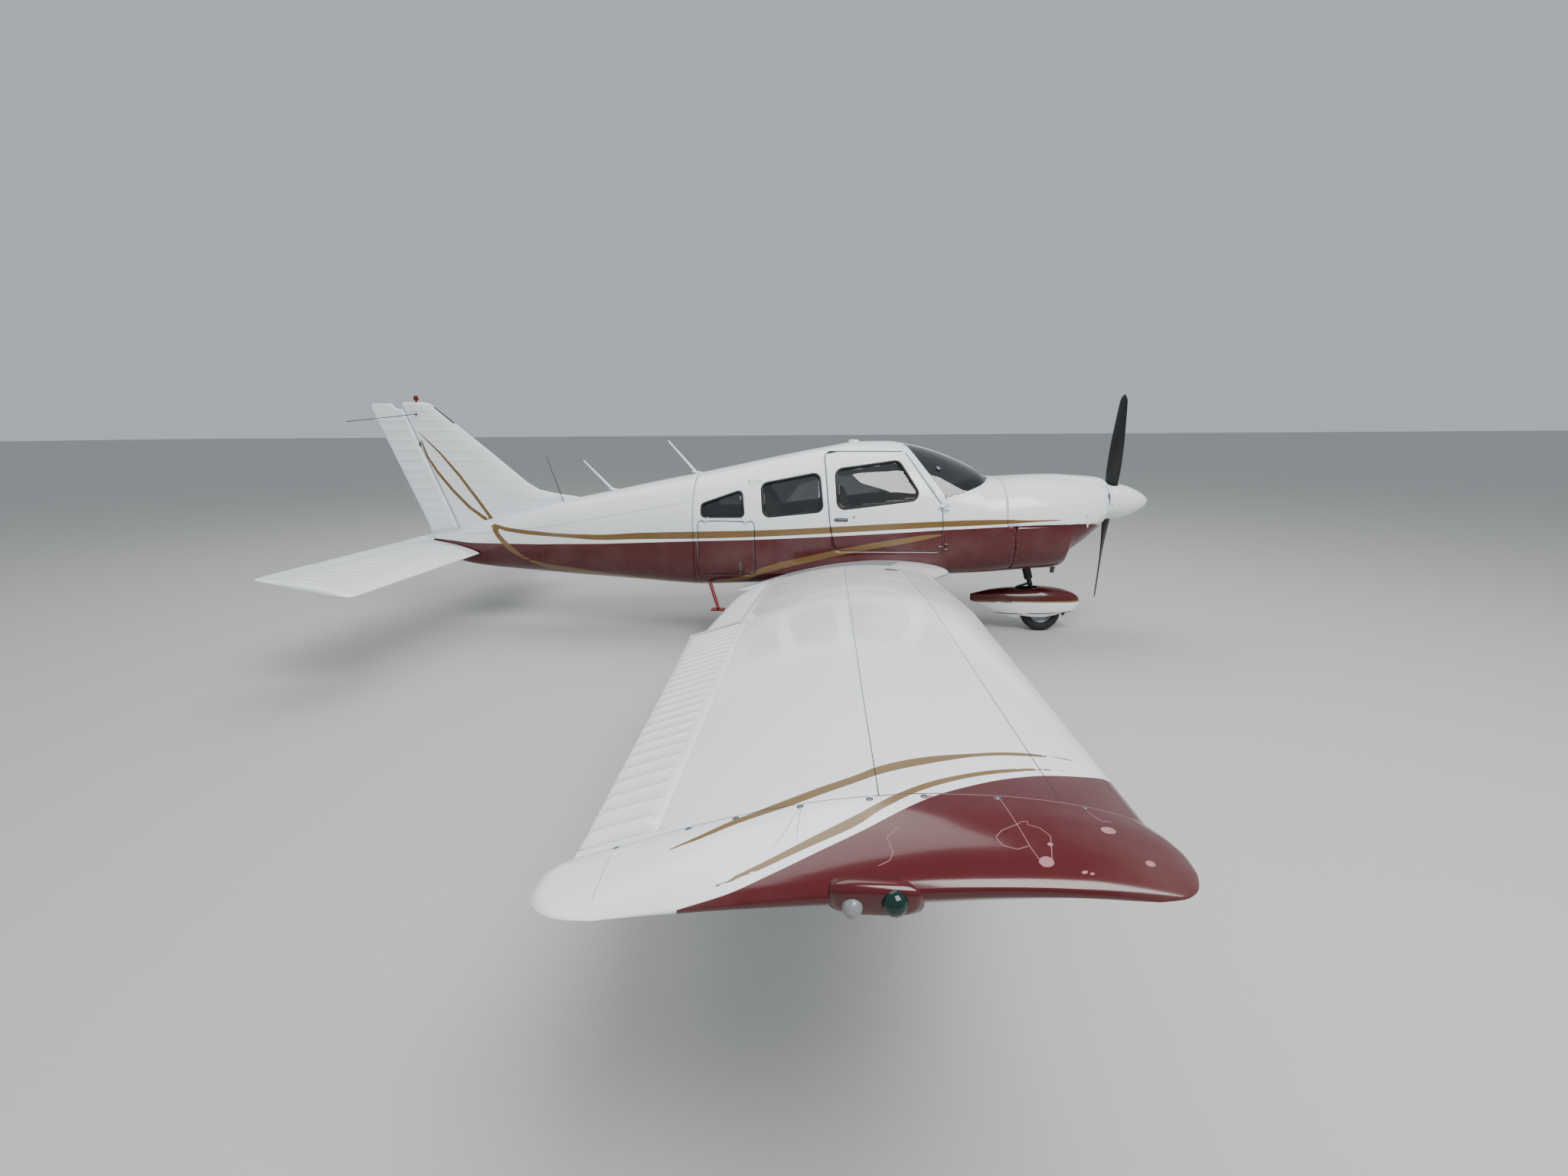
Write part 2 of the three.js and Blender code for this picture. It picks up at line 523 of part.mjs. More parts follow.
// cabin shell, doors, glazing
// what a leaf sweeps about its hinge line, from the line out to its far edge
function swept({ line }, far, r, grow) {
  const [p, q] = line.map((point) => new THREE.Vector3(...point));
  const dir = q.clone().sub(p).normalize();
  const edge = far.map(([x, z]) => {
    const offset = new THREE.Vector3(x, -skinY(x, z), z).sub(p);
    const along = offset.dot(dir);
    return [along, offset.addScaledVector(dir, -along).length()];
  });
  edge[0][0] = 0;
  edge[edge.length - 1][0] = p.distanceTo(q);
  const both = [...edge, ...edge.map(([along, radius]) => [along, -radius]).reverse()];
  const half = rounded(both, r, grow).filter(([, radius]) => radius > 0);
  const [first, last] = [half[0][0], half[half.length - 1][0]];
  return turned(line[0], dir.toArray(), [[first, 0], ...half, [last, 0]], 96);
}
const doorCut = (grow) => prismY(rounded(DOOR.pts, DOOR.r, grow), -700, DOOR.inner + grow)
  .intersect(swept(HINGE.door, DOOR.far, DOOR.r, grow));
const baggageCut = (grow) => box(-2100, -1350, -700, BAGGAGE.inner, 500, BAGGAGE.top + grow)
  .intersect(swept(HINGE.baggage, BAGGAGE.far, BAGGAGE.r, grow));
const windowCut = (w, side, grow) => prismY(rounded(w.pts, w.r, grow), side * 150, side * 700);
const screenCut = (grow) => prismY(rounded(SCREEN, 12, grow), -700, 700);

const cabinShell = shell(TAIL_JOINT + SEAT / 2, COWL.seamTop - SEAT, 0, CABIN_WALL);
const lowerNose = shell(COWL.seamTop - 40, COWL.seamLow, 0, CABIN_WALL)
  .intersect(below(COWL.split - SEAT / 2));
const cabinBody = cutAll(cabinShell.add(lowerNose), [
  doorCut(0), baggageCut(0), screenCut(0),
  windowCut(WIN_REAR, -1, 0), windowCut(WIN_AFT, -1, 0),
  windowCut(WIN_FRONT, 1, 0), windowCut(WIN_REAR, 1, 0), windowCut(WIN_AFT, 1, 0),
]);

const doorSkin = cabinShell.intersect(doorCut(-DOOR_GAP)).subtract(windowCut(WIN_FRONT, -1, 0));

// knuckles on a hinge line outside the skin, each with a strap to a foot in its own skin; the leaf's knuckle
// turns between two fixed ones, end face to end face
function knuckles({ line, at, reach, foot }, moving) {
  const [p, q] = line.map((point) => new THREE.Vector3(...point));
  const dir = q.clone().sub(p).normalize();
  const out = new THREE.Vector3(0, -1, 0).addScaledVector(dir, dir.y).normalize();
  const across = new THREE.Vector3().crossVectors(out, dir);
  const place = new THREE.Matrix4().makeBasis(across, out, dir).setPosition(p).elements;
  const way = moving ? 1 : -1;
  const span = (a, b) => [Math.min(a, b), Math.max(a, b)];
  const { r, strap, half, end, depth } = HINGE;
  return at.flatMap((t) => (moving ? [[t - half, t + half]] : [[t - half - end, t - half - SEAT],
    [t + half + SEAT, t + half + end]])).map(([a, b]) => union([
    bar([0, 0, a, r], [0, 0, b, r], 12),
    box(...span(0, way * reach), -strap, strap, a, b),
    box(...span(way * (reach - foot), way * reach), -depth, strap, a, b),
  ]).transform(place));
}
const leafs = (moving) => [HINGE.door, HINGE.baggage].map((hinge) => knuckles(hinge, moving));
add('cabin_door', union([doorSkin, ...leafs(true)[0]]), 'white');
add('baggage_door', union([cabinShell.intersect(baggageCut(-DOOR_GAP)), ...leafs(true)[1]]), 'white');
add('cabin_shell', union([cabinBody, ...leafs(false).flat()]), 'white');

const pane = shell(TAIL_JOINT + 30, COWL.seamTop - 30, GLASS_IN, GLASS_IN + GLASS_T);
const glassSheet = shell(-400, 680, 3, 3 + GLASS_T);
add('door_window', pane.intersect(windowCut(WIN_FRONT, -1, -GAP)), 'glass');
add('window_front_left', pane.intersect(windowCut(WIN_FRONT, 1, -GAP)), 'glass');
[['right', -1], ['left', 1]].forEach(([word, side]) => {
  add(`window_rear_${word}`, pane.intersect(windowCut(WIN_REAR, side, -GAP)), 'glass');
  add(`window_aft_${word}`, pane.intersect(windowCut(WIN_AFT, side, -GAP)), 'glass');
});
const screenBand = glassSheet.intersect(screenCut(-GAP));
add('windshield_right', screenBand.intersect(box(-600, 900, -800, -POST_HALF - GAP, 900, 2000)), 'glass');
add('windshield_left', screenBand.intersect(box(-600, 900, POST_HALF + GAP, 800, 900, 2000)), 'glass');
add('windshield_post', hull(-400, 680, 0).subtract(hull(-401, 681, 30)).intersect(screenCut(-GAP))
  .intersect(box(-600, 900, -POST_HALF, POST_HALF, 900, 2000)), 'white');

// cabin interior
const interior = hull(TAIL_JOINT, COWL.seamTop - 1, CABIN_WALL + GAP, true);
const panelCut = prismY([[215, 1000], [235, 1000], [235, 1280], [330, 1345], [330, 1362], [200, 1350],
  [195, 1290]], -800, 800);
add('instrument_panel', interior.intersect(panelCut), 'dark');
[['left', 1], ['right', -1]].forEach(([word, side]) => {
  const y = side * 255;
  add(`yoke_${word}`, union([
    bar([204.2, y, 1130, 11], [80, y, 1138, 11], 12),
    bent([[80, y - 132, 1205], [80, y - 124, 1150], [80, y - 60, 1128], [80, y, 1136], [80, y + 60, 1128],
      [80, y + 124, 1150], [80, y + 132, 1205]], 13, 10, 6),
  ]), 'black');
});
function seat(x, y0, y1, back, deep = 470) {
  return union([
    prismY(rounded([[x + 10, 815], [x + deep, 835], [x + deep + 10, 930], [x, 900]], 30), y0, y1),
    prismY(rounded([[x - 50 - back, 1330], [x + 50 - back, 1345], [x + 90, 860], [x - 20, 840]], 35), y0, y1),
    prismY(rounded([[x - 80 - back, 1475], [x - 10 - back, 1490], [x + 10 - back, 1335],
      [x - 60 - back, 1325]], 25), (y0 + y1) / 2 - 110, (y0 + y1) / 2 + 110),
  ]);
}
function seatFrame(x, y0, y1) {
  return union([
    box(x + 40, x + 440, y0 + 30, y0 + 55, 655, 818),
    box(x + 40, x + 440, y1 - 55, y1 - 30, 655, 818),
    box(x + 60, x + 90, y0 + 40, y1 - 40, 700, 730),
  ]);
}
const frames = [];
[['left', 1], ['right', -1]].forEach(([word, side]) => {
  const y = side * 255;
  const cushions = seat(-640, y - 208, y + 208, 110);
  add(`front_seat_${word}`, cushions, 'seat');
  frames.push(seatFrame(-640, y - 170, y + 140 + 30 * side).subtract(cushions.translate([0, 0, -GAP])));
});
const bench = seat(-1300, -440, 440, 120, 400).intersect(interior);
add('rear_seat', bench, 'seat');
const benchBase = box(-1270, -930, -400, 400, 655, 830).subtract(bench.translate([0, 0, -GAP]));
const floorRoom = hull(TAIL_JOINT, COWL.seamTop - 1, CABIN_WALL + 7, true);
add('cabin_floor', union([floorRoom.intersect(box(-2014, 639, -800, 800, 640, 660)),
  interior.intersect(box(-2025, -2013, -800, 800, 300, 1700)), benchBase, ...frames]), 'dark');

// tail cone, fin, rudder
const tubeHole = bar([STAB.pivot[0], -300, STAB.pivot[1], TORQUE_R + 0.6],
  [STAB.pivot[0], 300, STAB.pivot[1], TORQUE_R + 0.6], 24);
add('tail_cone', hull(-4705, TAIL_JOINT - SEAT / 2, 0)
  .subtract(hull(-4640, TAIL_JOINT + 1, TAIL_WALL, true)).subtract(tubeHole), 'white');

const finFoil = (le, te, z, share) => {
  const chord = le - te;
  return [[0, 0], [0.02, 0.28], [0.08, 0.55], [0.2, 0.85], [0.35, 1], [0.6, 0.9], [0.85, 0.62], [1, 0.5]]
    .flatMap(([t, h], i) => [{ x: le - chord * t, y: h * share / 2, i }])
    .map((p) => [p.x, p.y, z]);
};
const finRing = (le, te, z, half) => {
  const right = finFoil(le, te, z, half * 2);
  const left = right.slice(1).map(([x, y]) => [x, -y, z]).reverse();
  return [...right, ...left];
};
const leAt = (z) => {
  const pts = FIN.le;
  let i = 0;
  while (i < pts.length - 2 && z > pts[i + 1][1]) i += 1;
  const t = (z - pts[i][1]) / (pts[i + 1][1] - pts[i][1]);
  return pts[i][0] + t * (pts[i + 1][0] - pts[i][0]);
};
const hingeSlope = (FIN.hinge1[0] - FIN.hinge0[0]) / (FIN.hinge1[1] - FIN.hinge0[1]);
const hingeX = (z) => FIN.hinge0[0] + (z - FIN.hinge0[1]) * hingeSlope;
const finHeights = [FIN.foot, ...FIN.le.slice(0, 4).map(([, z]) => z), 1550, 1701, 1900, FIN.body];
const finHalf = (z) => FIN.half - (z - FIN.foot) * FIN.taper;
const finLevel = (z) => finRing(leAt(Math.max(z, FIN.le[0][1])), hingeX(z) + FIN.shut, z, finHalf(z));
const finBody = loft(finHeights.map(finLevel));
const [capFoot, capStep, capShoulder, capTop] = FIN.cap;
const finCap = loft([finRing(-4560, hingeX(capFoot) + FIN.shut, capFoot, finHalf(FIN.body)),
  finRing(-4575, hingeX(capStep) + FIN.shut, capStep, finHalf(FIN.body)),
  finRing(-4610, -4862, capShoulder, 20), finRing(-4670, -4850, capTop, 9)]);
// rudder hinges: knuckles on the fin, each in a notch in the rudder's nose
const rudderFoot = new THREE.Vector3(FIN.hinge0[0], 0, FIN.hinge0[1]);
const rudderUp = new THREE.Vector3(FIN.hinge1[0], 0, FIN.hinge1[1]).sub(rudderFoot).normalize();
const rudderAft = new THREE.Vector3().crossVectors(new THREE.Vector3(0, -1, 0), rudderUp);
const rudderPlace = new THREE.Matrix4().makeBasis(rudderAft, new THREE.Vector3(0, -1, 0), rudderUp)
  .setPosition(rudderFoot).elements;
const { at: rudderPins, half: pinHalf, r: pinR, notch: notchDepth } = FIN.pins;
const finKnuckles = rudderPins.map((t) => bar([0, 0, t - pinHalf, pinR], [0, 0, t + pinHalf, pinR], 12)
  .add(box(-45, 0, -5, 5, t - pinHalf, t + pinHalf)).transform(rudderPlace));
const pinSpan = pinHalf + SEAT;
const rudderNotches = rudderPins.map((t) => box(-60, notchDepth, -80, 80, t - pinSpan, t + pinSpan)
  .transform(rudderPlace));
add('fin', union([finBody.subtract(hull(-4700, -2900, -GAP)), finCap, ...finKnuckles]), 'white');
const rudderTe = (z) => RUDDER.teFoot[0] - (z - RUDDER.teFoot[1]) * RUDDER.teSlope;
const rudderBlade = loft(RUDDER.heights.map((z, i) => {
  const x = hingeX(z);
  const half = finHalf(z) * 0.5;
  const te = rudderTe(z);
  const drop = i === 0 ? 0.15 : 0;
  const noseX = x + 14;
  return [[noseX, 0], [noseX - 4, half * 0.7], [noseX - 22, half], [te, 3], [te, -3], [noseX - 22, -half],
    [noseX - 4, -half * 0.7]].map(([px, py]) => [px, py, z + (px - noseX) * drop]);
}));
// cap over the rudder, in line with the fin's; its nose clears the fin's cap as it turns
const rudderCap = loft(RUDDER.cap.map((z, i) => {
  const nose = hingeX(z) - RUDDER.capNose + (i === 0 ? 44 : 0);
  const te = rudderTe(z) + 10 * i;
  const half = 14 - 4.5 * i;
  return [[nose, 0], [nose - 14, half * 0.7], [nose - 60, half], [te + 40, half * 0.5], [te, 2], [te, -2],
    [te + 40, -half * 0.5], [nose - 60, -half], [nose - 14, -half * 0.7]].map(([px, py]) => [px, py, z]);
}));
add('rudder', cutAll(rudderBlade.add(rudderCap), rudderNotches), 'white');
const beaconDome = turned([BEACON.x, 0, BEACON.base - 1], [0, 0, 1], [[0, 0], [0, BEACON.r],
  [22, BEACON.r * 0.92], [38, BEACON.r * 0.6], [BEACON.top - BEACON.base, 0]], 18);
const beaconMast = bar([BEACON.x, 0, BEACON.foot, BEACON.mast], [BEACON.x, 0, BEACON.base, BEACON.mast], 14);
add('beacon', beaconDome.add(beaconMast).subtract(finCap.translate([0, 0, GAP])), 'red');
const finClear = finBody.translate([0, GAP, 0]).add(finBody.translate([0, -GAP, 0]));
[['left', 1], ['right', -1]].forEach(([word, side]) => {
  const { root, elbow, tip, foot, r } = WHISKER;
  const at = ([x, y, z], radius) => [x, side * y, z, radius];
  const mount = bar(at(root, foot), at(elbow, foot * 0.7), 12);
  add(`nav_antenna_${word}`, mount.add(bar(at(elbow, r), at(tip, r), 8)).subtract(finClear), 'dark');
});

// stabilator and tab
const [pivotX, pivotZ] = STAB.pivot;
const tilt = Math.tan(rad(STAB.angle));
function stabRing(y, le, te, half, x0 = le, x1 = te) {
  const chord = le - te;
  const shape = [[0, 0], [0.02, 0.3], [0.08, 0.58], [0.2, 0.88], [0.34, 1], [0.6, 0.8], [0.85, 0.4],
    [1, 0.12]];
  const at = ([t, h], s) => {
    const x = le - chord * t;
    return [x, y, pivotZ + (pivotX - x) * tilt + s * h * half];
  };
  return [...shape.map((p) => at(p, 1)), ...shape.slice(1).map((p) => at(p, -1)).reverse()];
}
const stabStations = [[-STAB.half, 60], [-STAB.half + 18, 14], [-STAB.half + 60, 0], [STAB.half - 60, 0],
  [STAB.half - 18, 14], [STAB.half, 60]];
const stabBody = loft(stabStations.map(([y, cut]) => stabRing(y, STAB.le - cut, STAB.te + cut * 0.5,
  cut ? 34 - cut * 0.3 : 34)));
const tabBox = (dy, dx) => box(-5100, STAB.tabX + dx, -STAB.tabY - dy, STAB.tabY + dy, 600, 1100);
const notch = prismZ([[STAB.le + 40, 150], [-4200, 150], [-4380, 122], [-4600, 66], [-4725, 34], [-4725, -34],
  [-4600, -66], [-4380, -122], [-4200, -150], [STAB.le + 40, -150]], 500, 1000);
const tabZ = pivotZ + (pivotX - STAB.tabX) * tilt;
const tabPin = (side) => bar([STAB.tabX - 14, side * (STAB.tabY + SEAT), tabZ, 5], [STAB.tabX - 14,
  side * (STAB.tabY + 12), tabZ, 5], 10);
add('stabilator', union([cutAll(stabBody, [tabBox(7, 0), notch]), tabPin(1), tabPin(-1),
  bar([pivotX, -170, pivotZ, TORQUE_R], [pivotX, 170, pivotZ, TORQUE_R], 24)]), 'white');
add('anti_servo_tab', stabBody.intersect(tabBox(0, -8)), 'white');

// wings
const pairs = [['left', (s) => s], ['right', mirror]];
pairs.forEach(([word, flip]) => {
  add(`wing_${word}`, flip(wingSolid).subtract(hullClear), 'white');
  add(`wing_tip_${word}`, flip(tipSolid), 'maroon');
  add(`flap_${word}`, flip(flapSolid.subtract(hull(-4700, 1655, -20))), 'white');
  add(`aileron_${word}`, flip(aileronSolid), 'white');
  const { x, out, up, length, r } = TIP_LAMP;
  const lampProfile = [[0, 0], [0, r], [length * 0.65, r * 0.92], [length * 0.9, r * 0.58], [length, 0]];
  const lamp = turned([x, tipY + out, tipRings[4][7][2] + up], [0, 1, 0], lampProfile, 20);
  add(`position_light_${word}`, flip(lamp.subtract(tipSolid.translate([0, GAP, 0]))),
    word === 'left' ? 'red' : 'green');
});

// landing gear
// wheel fairing: share of its length from the nose, share of its full section there
const PANT_ROWS = [[0, 0.04], [0.03, 0.34], [0.1, 0.64], [0.22, 0.89], [0.38, 1], [0.6, 0.91], [0.8, 0.62],
  [1, 0.1]];
function streamlined(cx, cy, length, ahead, half, top, bottom, inset) {
  const n = inset ? 14 : 18;
  const mid = (top + bottom) / 2 + 20;
  return loft(PANT_ROWS.map(([t, k]) => {
    const x = cx + ahead - length * t;
    const w = Math.max(half * k - inset, 2);
    const up = Math.max((top - mid) * (k * 0.9 + 0.1) - inset, 2);
    const down = Math.max((mid - bottom) * (k * 0.9 + 0.1) - inset, 2);
    const lift = t > 0.6 ? (t - 0.6) * 90 : 0;
    return Array.from({ length: n }, (_, i) => {
      const a = (i + 0.5) / n * 2 * Math.PI;
      const s = Math.sin(a);
      const c = Math.cos(a);
      const p = 2 / 2.3;
      return [x, cy + w * Math.sign(c) * Math.abs(c) ** p, mid + lift
        + (s >= 0 ? up : down) * Math.sign(s) * Math.abs(s) ** p];
    });
  }));
}

function tyre({ r, w }) {
  const h = w / 2;
  return turned([0, 0, 0], [0, 1, 0], [[-h * 0.62, r * BEAD], [-h * 0.97, r * 0.68], [-h * 0.97, r * 0.82],
    [-h * 0.72, r * 0.96], [-h * 0.25, r], [h * 0.25, r], [h * 0.72, r * 0.96], [h * 0.97, r * 0.82],
    [h * 0.97, r * 0.68], [h * 0.62, r * BEAD]], WHEEL_SIDES);
}

function wheel({ r, w, axle }) {
  const h = w / 2;
  const bore = axle + GAP;
  const bead = r * BEAD - SEAT;
  return turned([0, 0, 0], [0, 1, 0], [[-h * 0.8, bore], [-h * 0.8, r * 0.3], [-h * 0.35, r * 0.4],
    [-h * 0.6, bead], [h * 0.6, bead], [h * 0.35, r * 0.4], [h * 0.8, r * 0.3], [h * 0.8, bore]],
  WHEEL_SIDES);
}

add('nose_strut', union([
  bar([rakeX(810), 0, 810, 38], [rakeX(500), 0, 500, 38], 16),
  ...[-1, 1].flatMap((side) => [
    bar([662, side * 150, 860, 12], [rakeX(790), side * 20, 790, 12], 8),
    bar([662, side * 120, 720, 12], [rakeX(690), side * 20, 690, 12], 8),
    box(652.4, 664, side * 150 - 20, side * 150 + 20, 840, 880),
    box(652.4, 664, side * 120 - 20, side * 120 + 20, 700, 740),
  ]),
]).subtract(strutHole(NOSE.tube + 0.6)), 'metal');
const forkArm = (side) => prismY([[rakeX(370) - 30, 370], [rakeX(370) + 34, 370], [NOSE.x + 26, 165],
  [NOSE.x - 26, 165]], side * 68, side * 76);
const link = (points) => prismY(points, -9, 9);
const { length, ahead, half, top, bottom } = NOSE.pant;
const noseInside = streamlined(NOSE.x, 0, length, ahead, half, top, bottom, PANT_WALL + SEAT);
add('nose_fork', union([
  bar([rakeX(740), 0, 740, NOSE.tube], [rakeX(376), 0, 376, NOSE.tube], 20),
  box(rakeX(376) - 34, rakeX(376) + 36, -120, 120, 366, 380).intersect(noseInside),
  forkArm(1), forkArm(-1),
  bar([NOSE.x, -76, NOSE.r, NOSE.axle], [NOSE.x, 76, NOSE.r, NOSE.axle], 16),
  link([[rakeX(470) - 10, 440], [rakeX(470) - 10, 462], [rakeX(470) - 118, 424], [rakeX(470) - 118, 408]]),
]), 'metal');
const noseAxle = { at: [NOSE.x, 0, NOSE.r] };
add('nose_tyre', tyre(NOSE), 'rubber', noseAxle);
add('nose_wheel', wheel(NOSE), 'metal', noseAxle);
function pant(x, y, r, spec) {
  const outer = streamlined(x, y, spec.length, spec.ahead, spec.half, spec.top, spec.bottom, 0);
  return cutAll(outer, [
    streamlined(x, y, spec.length, spec.ahead, spec.half, spec.top, spec.bottom, PANT_WALL),
    box(x - r - 30, x + r + 30, y - spec.slot, y + spec.slot, 0, spec.bottom + 90),
  ]);
}
const strutSlot = box(rakeX(420) - 150, rakeX(420) + 52, -52, 52, 386, 480);
add('nose_fairing', pant(NOSE.x, 0, NOSE.r, NOSE.pant).subtract(strutSlot), 'maroon');

pairs.forEach(([word, flip]) => {
  const y = MAIN.y;
  const leg = (grow) => union([
    bar([-745, y - 118, 720, 30 + grow], [MAIN.x, y - 118, 250, 30 + grow], 18),
    bar([MAIN.x, y - 132 - grow, MAIN.r, 40 + grow], [MAIN.x, y - 92 + grow, MAIN.r, 40 + grow], 20),
    bar([MAIN.x, y - 100, MAIN.r, MAIN.axle], [MAIN.x, y + 90, MAIN.r, MAIN.axle], 16),
  ]);
  add(`main_leg_${word}`, flip(leg(0).subtract(wingSolid.translate([0, 0, -GAP]))), 'metal');
  add(`main_fairing_${word}`, flip(pant(MAIN.x, y, MAIN.r, MAIN.pant).subtract(leg(SEAT))), 'maroon');
  const axle = { at: [MAIN.x, word === 'left' ? y : -y, MAIN.r] };
  add(`main_tyre_${word}`, flip(tyre(MAIN)), 'rubber', axle);
  add(`main_wheel_${word}`, flip(wheel(MAIN)), 'metal', axle);
});

// propeller
const blade = (side) => {
  const rows = [[60, 42, 60, 36], [170, 55, 48, 26], [300, 68, 36, 16], [500, 75, 25, 10], [750, 62, 18, 6.5],
    [900, 46, 15, 4.5], [938, 26, 14, 3]];
  return loft(rows.map(([r, half, pitch, thick]) => {
    const b = rad(pitch);
    return Array.from({ length: 12 }, (_, k) => {
      const a = k / 12 * 2 * Math.PI;
      const u = Math.cos(a) * half;
      const v = Math.sin(a) * thick;
      return [PROP.x + u * Math.sin(b) + v * Math.cos(b), side * (v * Math.sin(b) - u * Math.cos(b)),
        side * r];
    });
  }));
};
const shaft = { at: [0, 0, SPINNER.z], lean: PROP.lean };
const hub = bar([SPINNER.base - 6, 0, 0, PROP.hub], [PROP.x + 58, 0, 0, PROP.hub], 24);
add('propeller', union([hub, blade(1), blade(-1)]), 'black', shaft);
const spinnerRow = [[0, 1], [0.25, 0.95], [0.5, 0.81], [0.72, 0.58], [0.9, 0.3], [1, 0.04]];
function spinnerOut(inset) {
  const length = SPINNER.tip - SPINNER.base - inset;
  const profile = spinnerRow.map(([t, k]) => [length * t, Math.max(SPINNER.r * k - inset, 2)]);
  return turned([SPINNER.base, 0, 0], [1, 0, 0], [[0, 0], ...profile, [length + 1, 0]], 20);
}
add('spinner', cutAll(spinnerOut(0), [
  spinnerOut(6).translate([4, 0, 0]),
  bar([1600, 0, 0, PROP.hub + SEAT], [1700, 0, 0, PROP.hub + SEAT], 24),
  ...[-1, 1].map((side) => bar([PROP.x, 0, side * 72, 62], [PROP.x, 0, side * 200, 62], 20)),
]), 'white', shaft);

// small fittings
const whip = (x0, z0, x1, z1, r0, r1, y = 0) => bar([x0, y, z0, r0], [x1, y, z1, r1], 10).subtract(hullClear);
add('com_antenna_front', whip(-2050, 1470, -2324, 1783, 13, 7), 'white');
add('com_antenna_rear', whip(-2862, 1310, -3145, 1603, 13, 7), 'white');
add('whip_antenna', whip(-3335, 1190, -3479, 1641, 4, 2.5, -64), 'dark');
add('step_strut', union([bar([-1905, -370, 520, 16], [-1822, -440, 290, 16], 12),
  box(-1885, -1765, -480, -400, 270, 284)]).subtract(hullClear), 'maroon');

export default group;
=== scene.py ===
"""Four-seat low-wing light aircraft, parked on its tricycle gear. Metres, +X nose, +Y port, +Z up.

The tables of stations are in millimetres: x from the leading edge of the straight wing panel, positive to
the nose, y from the centre line, z from the ground. from_wing() turns them to the aircraft's frame.
"""

import bmesh
import bpy
import numpy as np
from mathutils import Matrix, Vector


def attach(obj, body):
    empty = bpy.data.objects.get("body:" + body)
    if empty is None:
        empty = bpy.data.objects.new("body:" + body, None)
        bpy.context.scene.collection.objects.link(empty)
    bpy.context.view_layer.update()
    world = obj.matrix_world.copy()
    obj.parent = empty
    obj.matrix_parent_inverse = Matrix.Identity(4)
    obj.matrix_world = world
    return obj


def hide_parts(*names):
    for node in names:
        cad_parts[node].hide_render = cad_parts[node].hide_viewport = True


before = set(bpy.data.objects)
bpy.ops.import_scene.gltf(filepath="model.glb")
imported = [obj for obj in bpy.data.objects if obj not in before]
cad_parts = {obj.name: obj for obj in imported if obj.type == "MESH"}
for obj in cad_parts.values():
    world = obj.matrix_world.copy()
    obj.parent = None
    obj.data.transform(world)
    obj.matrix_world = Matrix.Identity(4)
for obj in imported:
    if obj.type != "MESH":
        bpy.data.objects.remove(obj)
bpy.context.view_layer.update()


# Viewpoint and studio: eyes just off the starboard wing tip, looking inboard through a very wide lens, on a
# plain pale floor under two soft boxes.
EYE = (0.7624, -6.3863, 1.8651)
YAW, PITCH, ROLL = -0.07095, -0.22768, -0.0065
LENS = 15.561
FLOOR = 300.0

ahead = Vector((np.sin(YAW) * np.cos(PITCH), np.cos(YAW) * np.cos(PITCH), np.sin(PITCH)))
level = Vector((np.cos(YAW), -np.sin(YAW), 0))
upright = level.cross(ahead)
camera = bpy.data.objects.new("camera", bpy.data.cameras.new("camera"))
bpy.context.scene.collection.objects.link(camera)
right = level * np.cos(ROLL) + upright * np.sin(ROLL)
above = upright * np.cos(ROLL) - level * np.sin(ROLL)
camera.matrix_world = Matrix.Translation(EYE) @ Matrix((right, above, -ahead)).transposed().to_4x4()
camera.data.lens = LENS
camera.data.sensor_width = 36.0
bpy.context.scene.camera = camera


def linear(code):
    """sRGB hex colour as linear light: c / 12.92 at the dark end, else ((c + 0.055) / 1.055) to the power
    2.4."""
    channels = [int(code[k:k + 2], 16) / 255 for k in (1, 3, 5)]
    return [c / 12.92 if c <= 0.04045 else ((c + 0.055) / 1.055) ** 2.4 for c in channels] + [1.0]


def node(tree, kind, inputs=(), **settings):
    """Adds one shader node; inputs maps a socket to its value or to the socket that feeds it."""
    added = tree.nodes.new("ShaderNode" + kind)
    for name, value in settings.items():
        setattr(added, name, value)
    for socket, value in dict(inputs).items():
        if isinstance(value, bpy.types.NodeSocket):
            tree.links.new(value, added.inputs[socket])
        else:
            added.inputs[socket].default_value = value
    return added


def surface_of(name, **values):
    """New material: its name, then values for the sockets of its Principled surface, words joined by _."""
    made = bpy.data.materials.new(name)
    made.use_nodes = True
    shader = made.node_tree.nodes["Principled BSDF"]
    for socket, value in values.items():
        entry = linear(value) if isinstance(value, str) else value
        shader.inputs[socket.replace("_", " ")].default_value = entry
    return made


def grained(made, size, height, spread=0.08, tint=None, detail=3.0):
    """Adds grain to a material: noise in object coordinates, `size` metres across, lifts the surface by
    `height`, moves the roughness by +-spread and, with a tint, mixes that colour in."""
    tree = made.node_tree
    shader = tree.nodes["Principled BSDF"]
    rough = shader.inputs["Roughness"].default_value
    place = node(tree, "TexCoord")
    noise = node(tree, "TexNoise", {"Vector": place.outputs["Object"], "Scale": 1 / size, "Detail": detail})
    spot = node(tree, "MapRange", {"Value": noise.outputs["Fac"], "From Min": 0.3, "From Max": 0.7,
                                   "To Min": max(rough - spread, 0.02), "To Max": rough + spread})
    tree.links.new(spot.outputs["Result"], shader.inputs["Roughness"])
    bump = node(tree, "Bump", {"Height": noise.outputs["Fac"], "Distance": height, "Strength": 1.0})
    tree.links.new(bump.outputs["Normal"], shader.inputs["Normal"])
    if tint:
        base = list(shader.inputs["Base Color"].default_value)
        blend = node(tree, "Mix", {0: noise.outputs["Fac"], 6: base, 7: linear(tint)}, data_type="RGBA")
        tree.links.new(blend.outputs[2], shader.inputs["Base Color"])
    return made


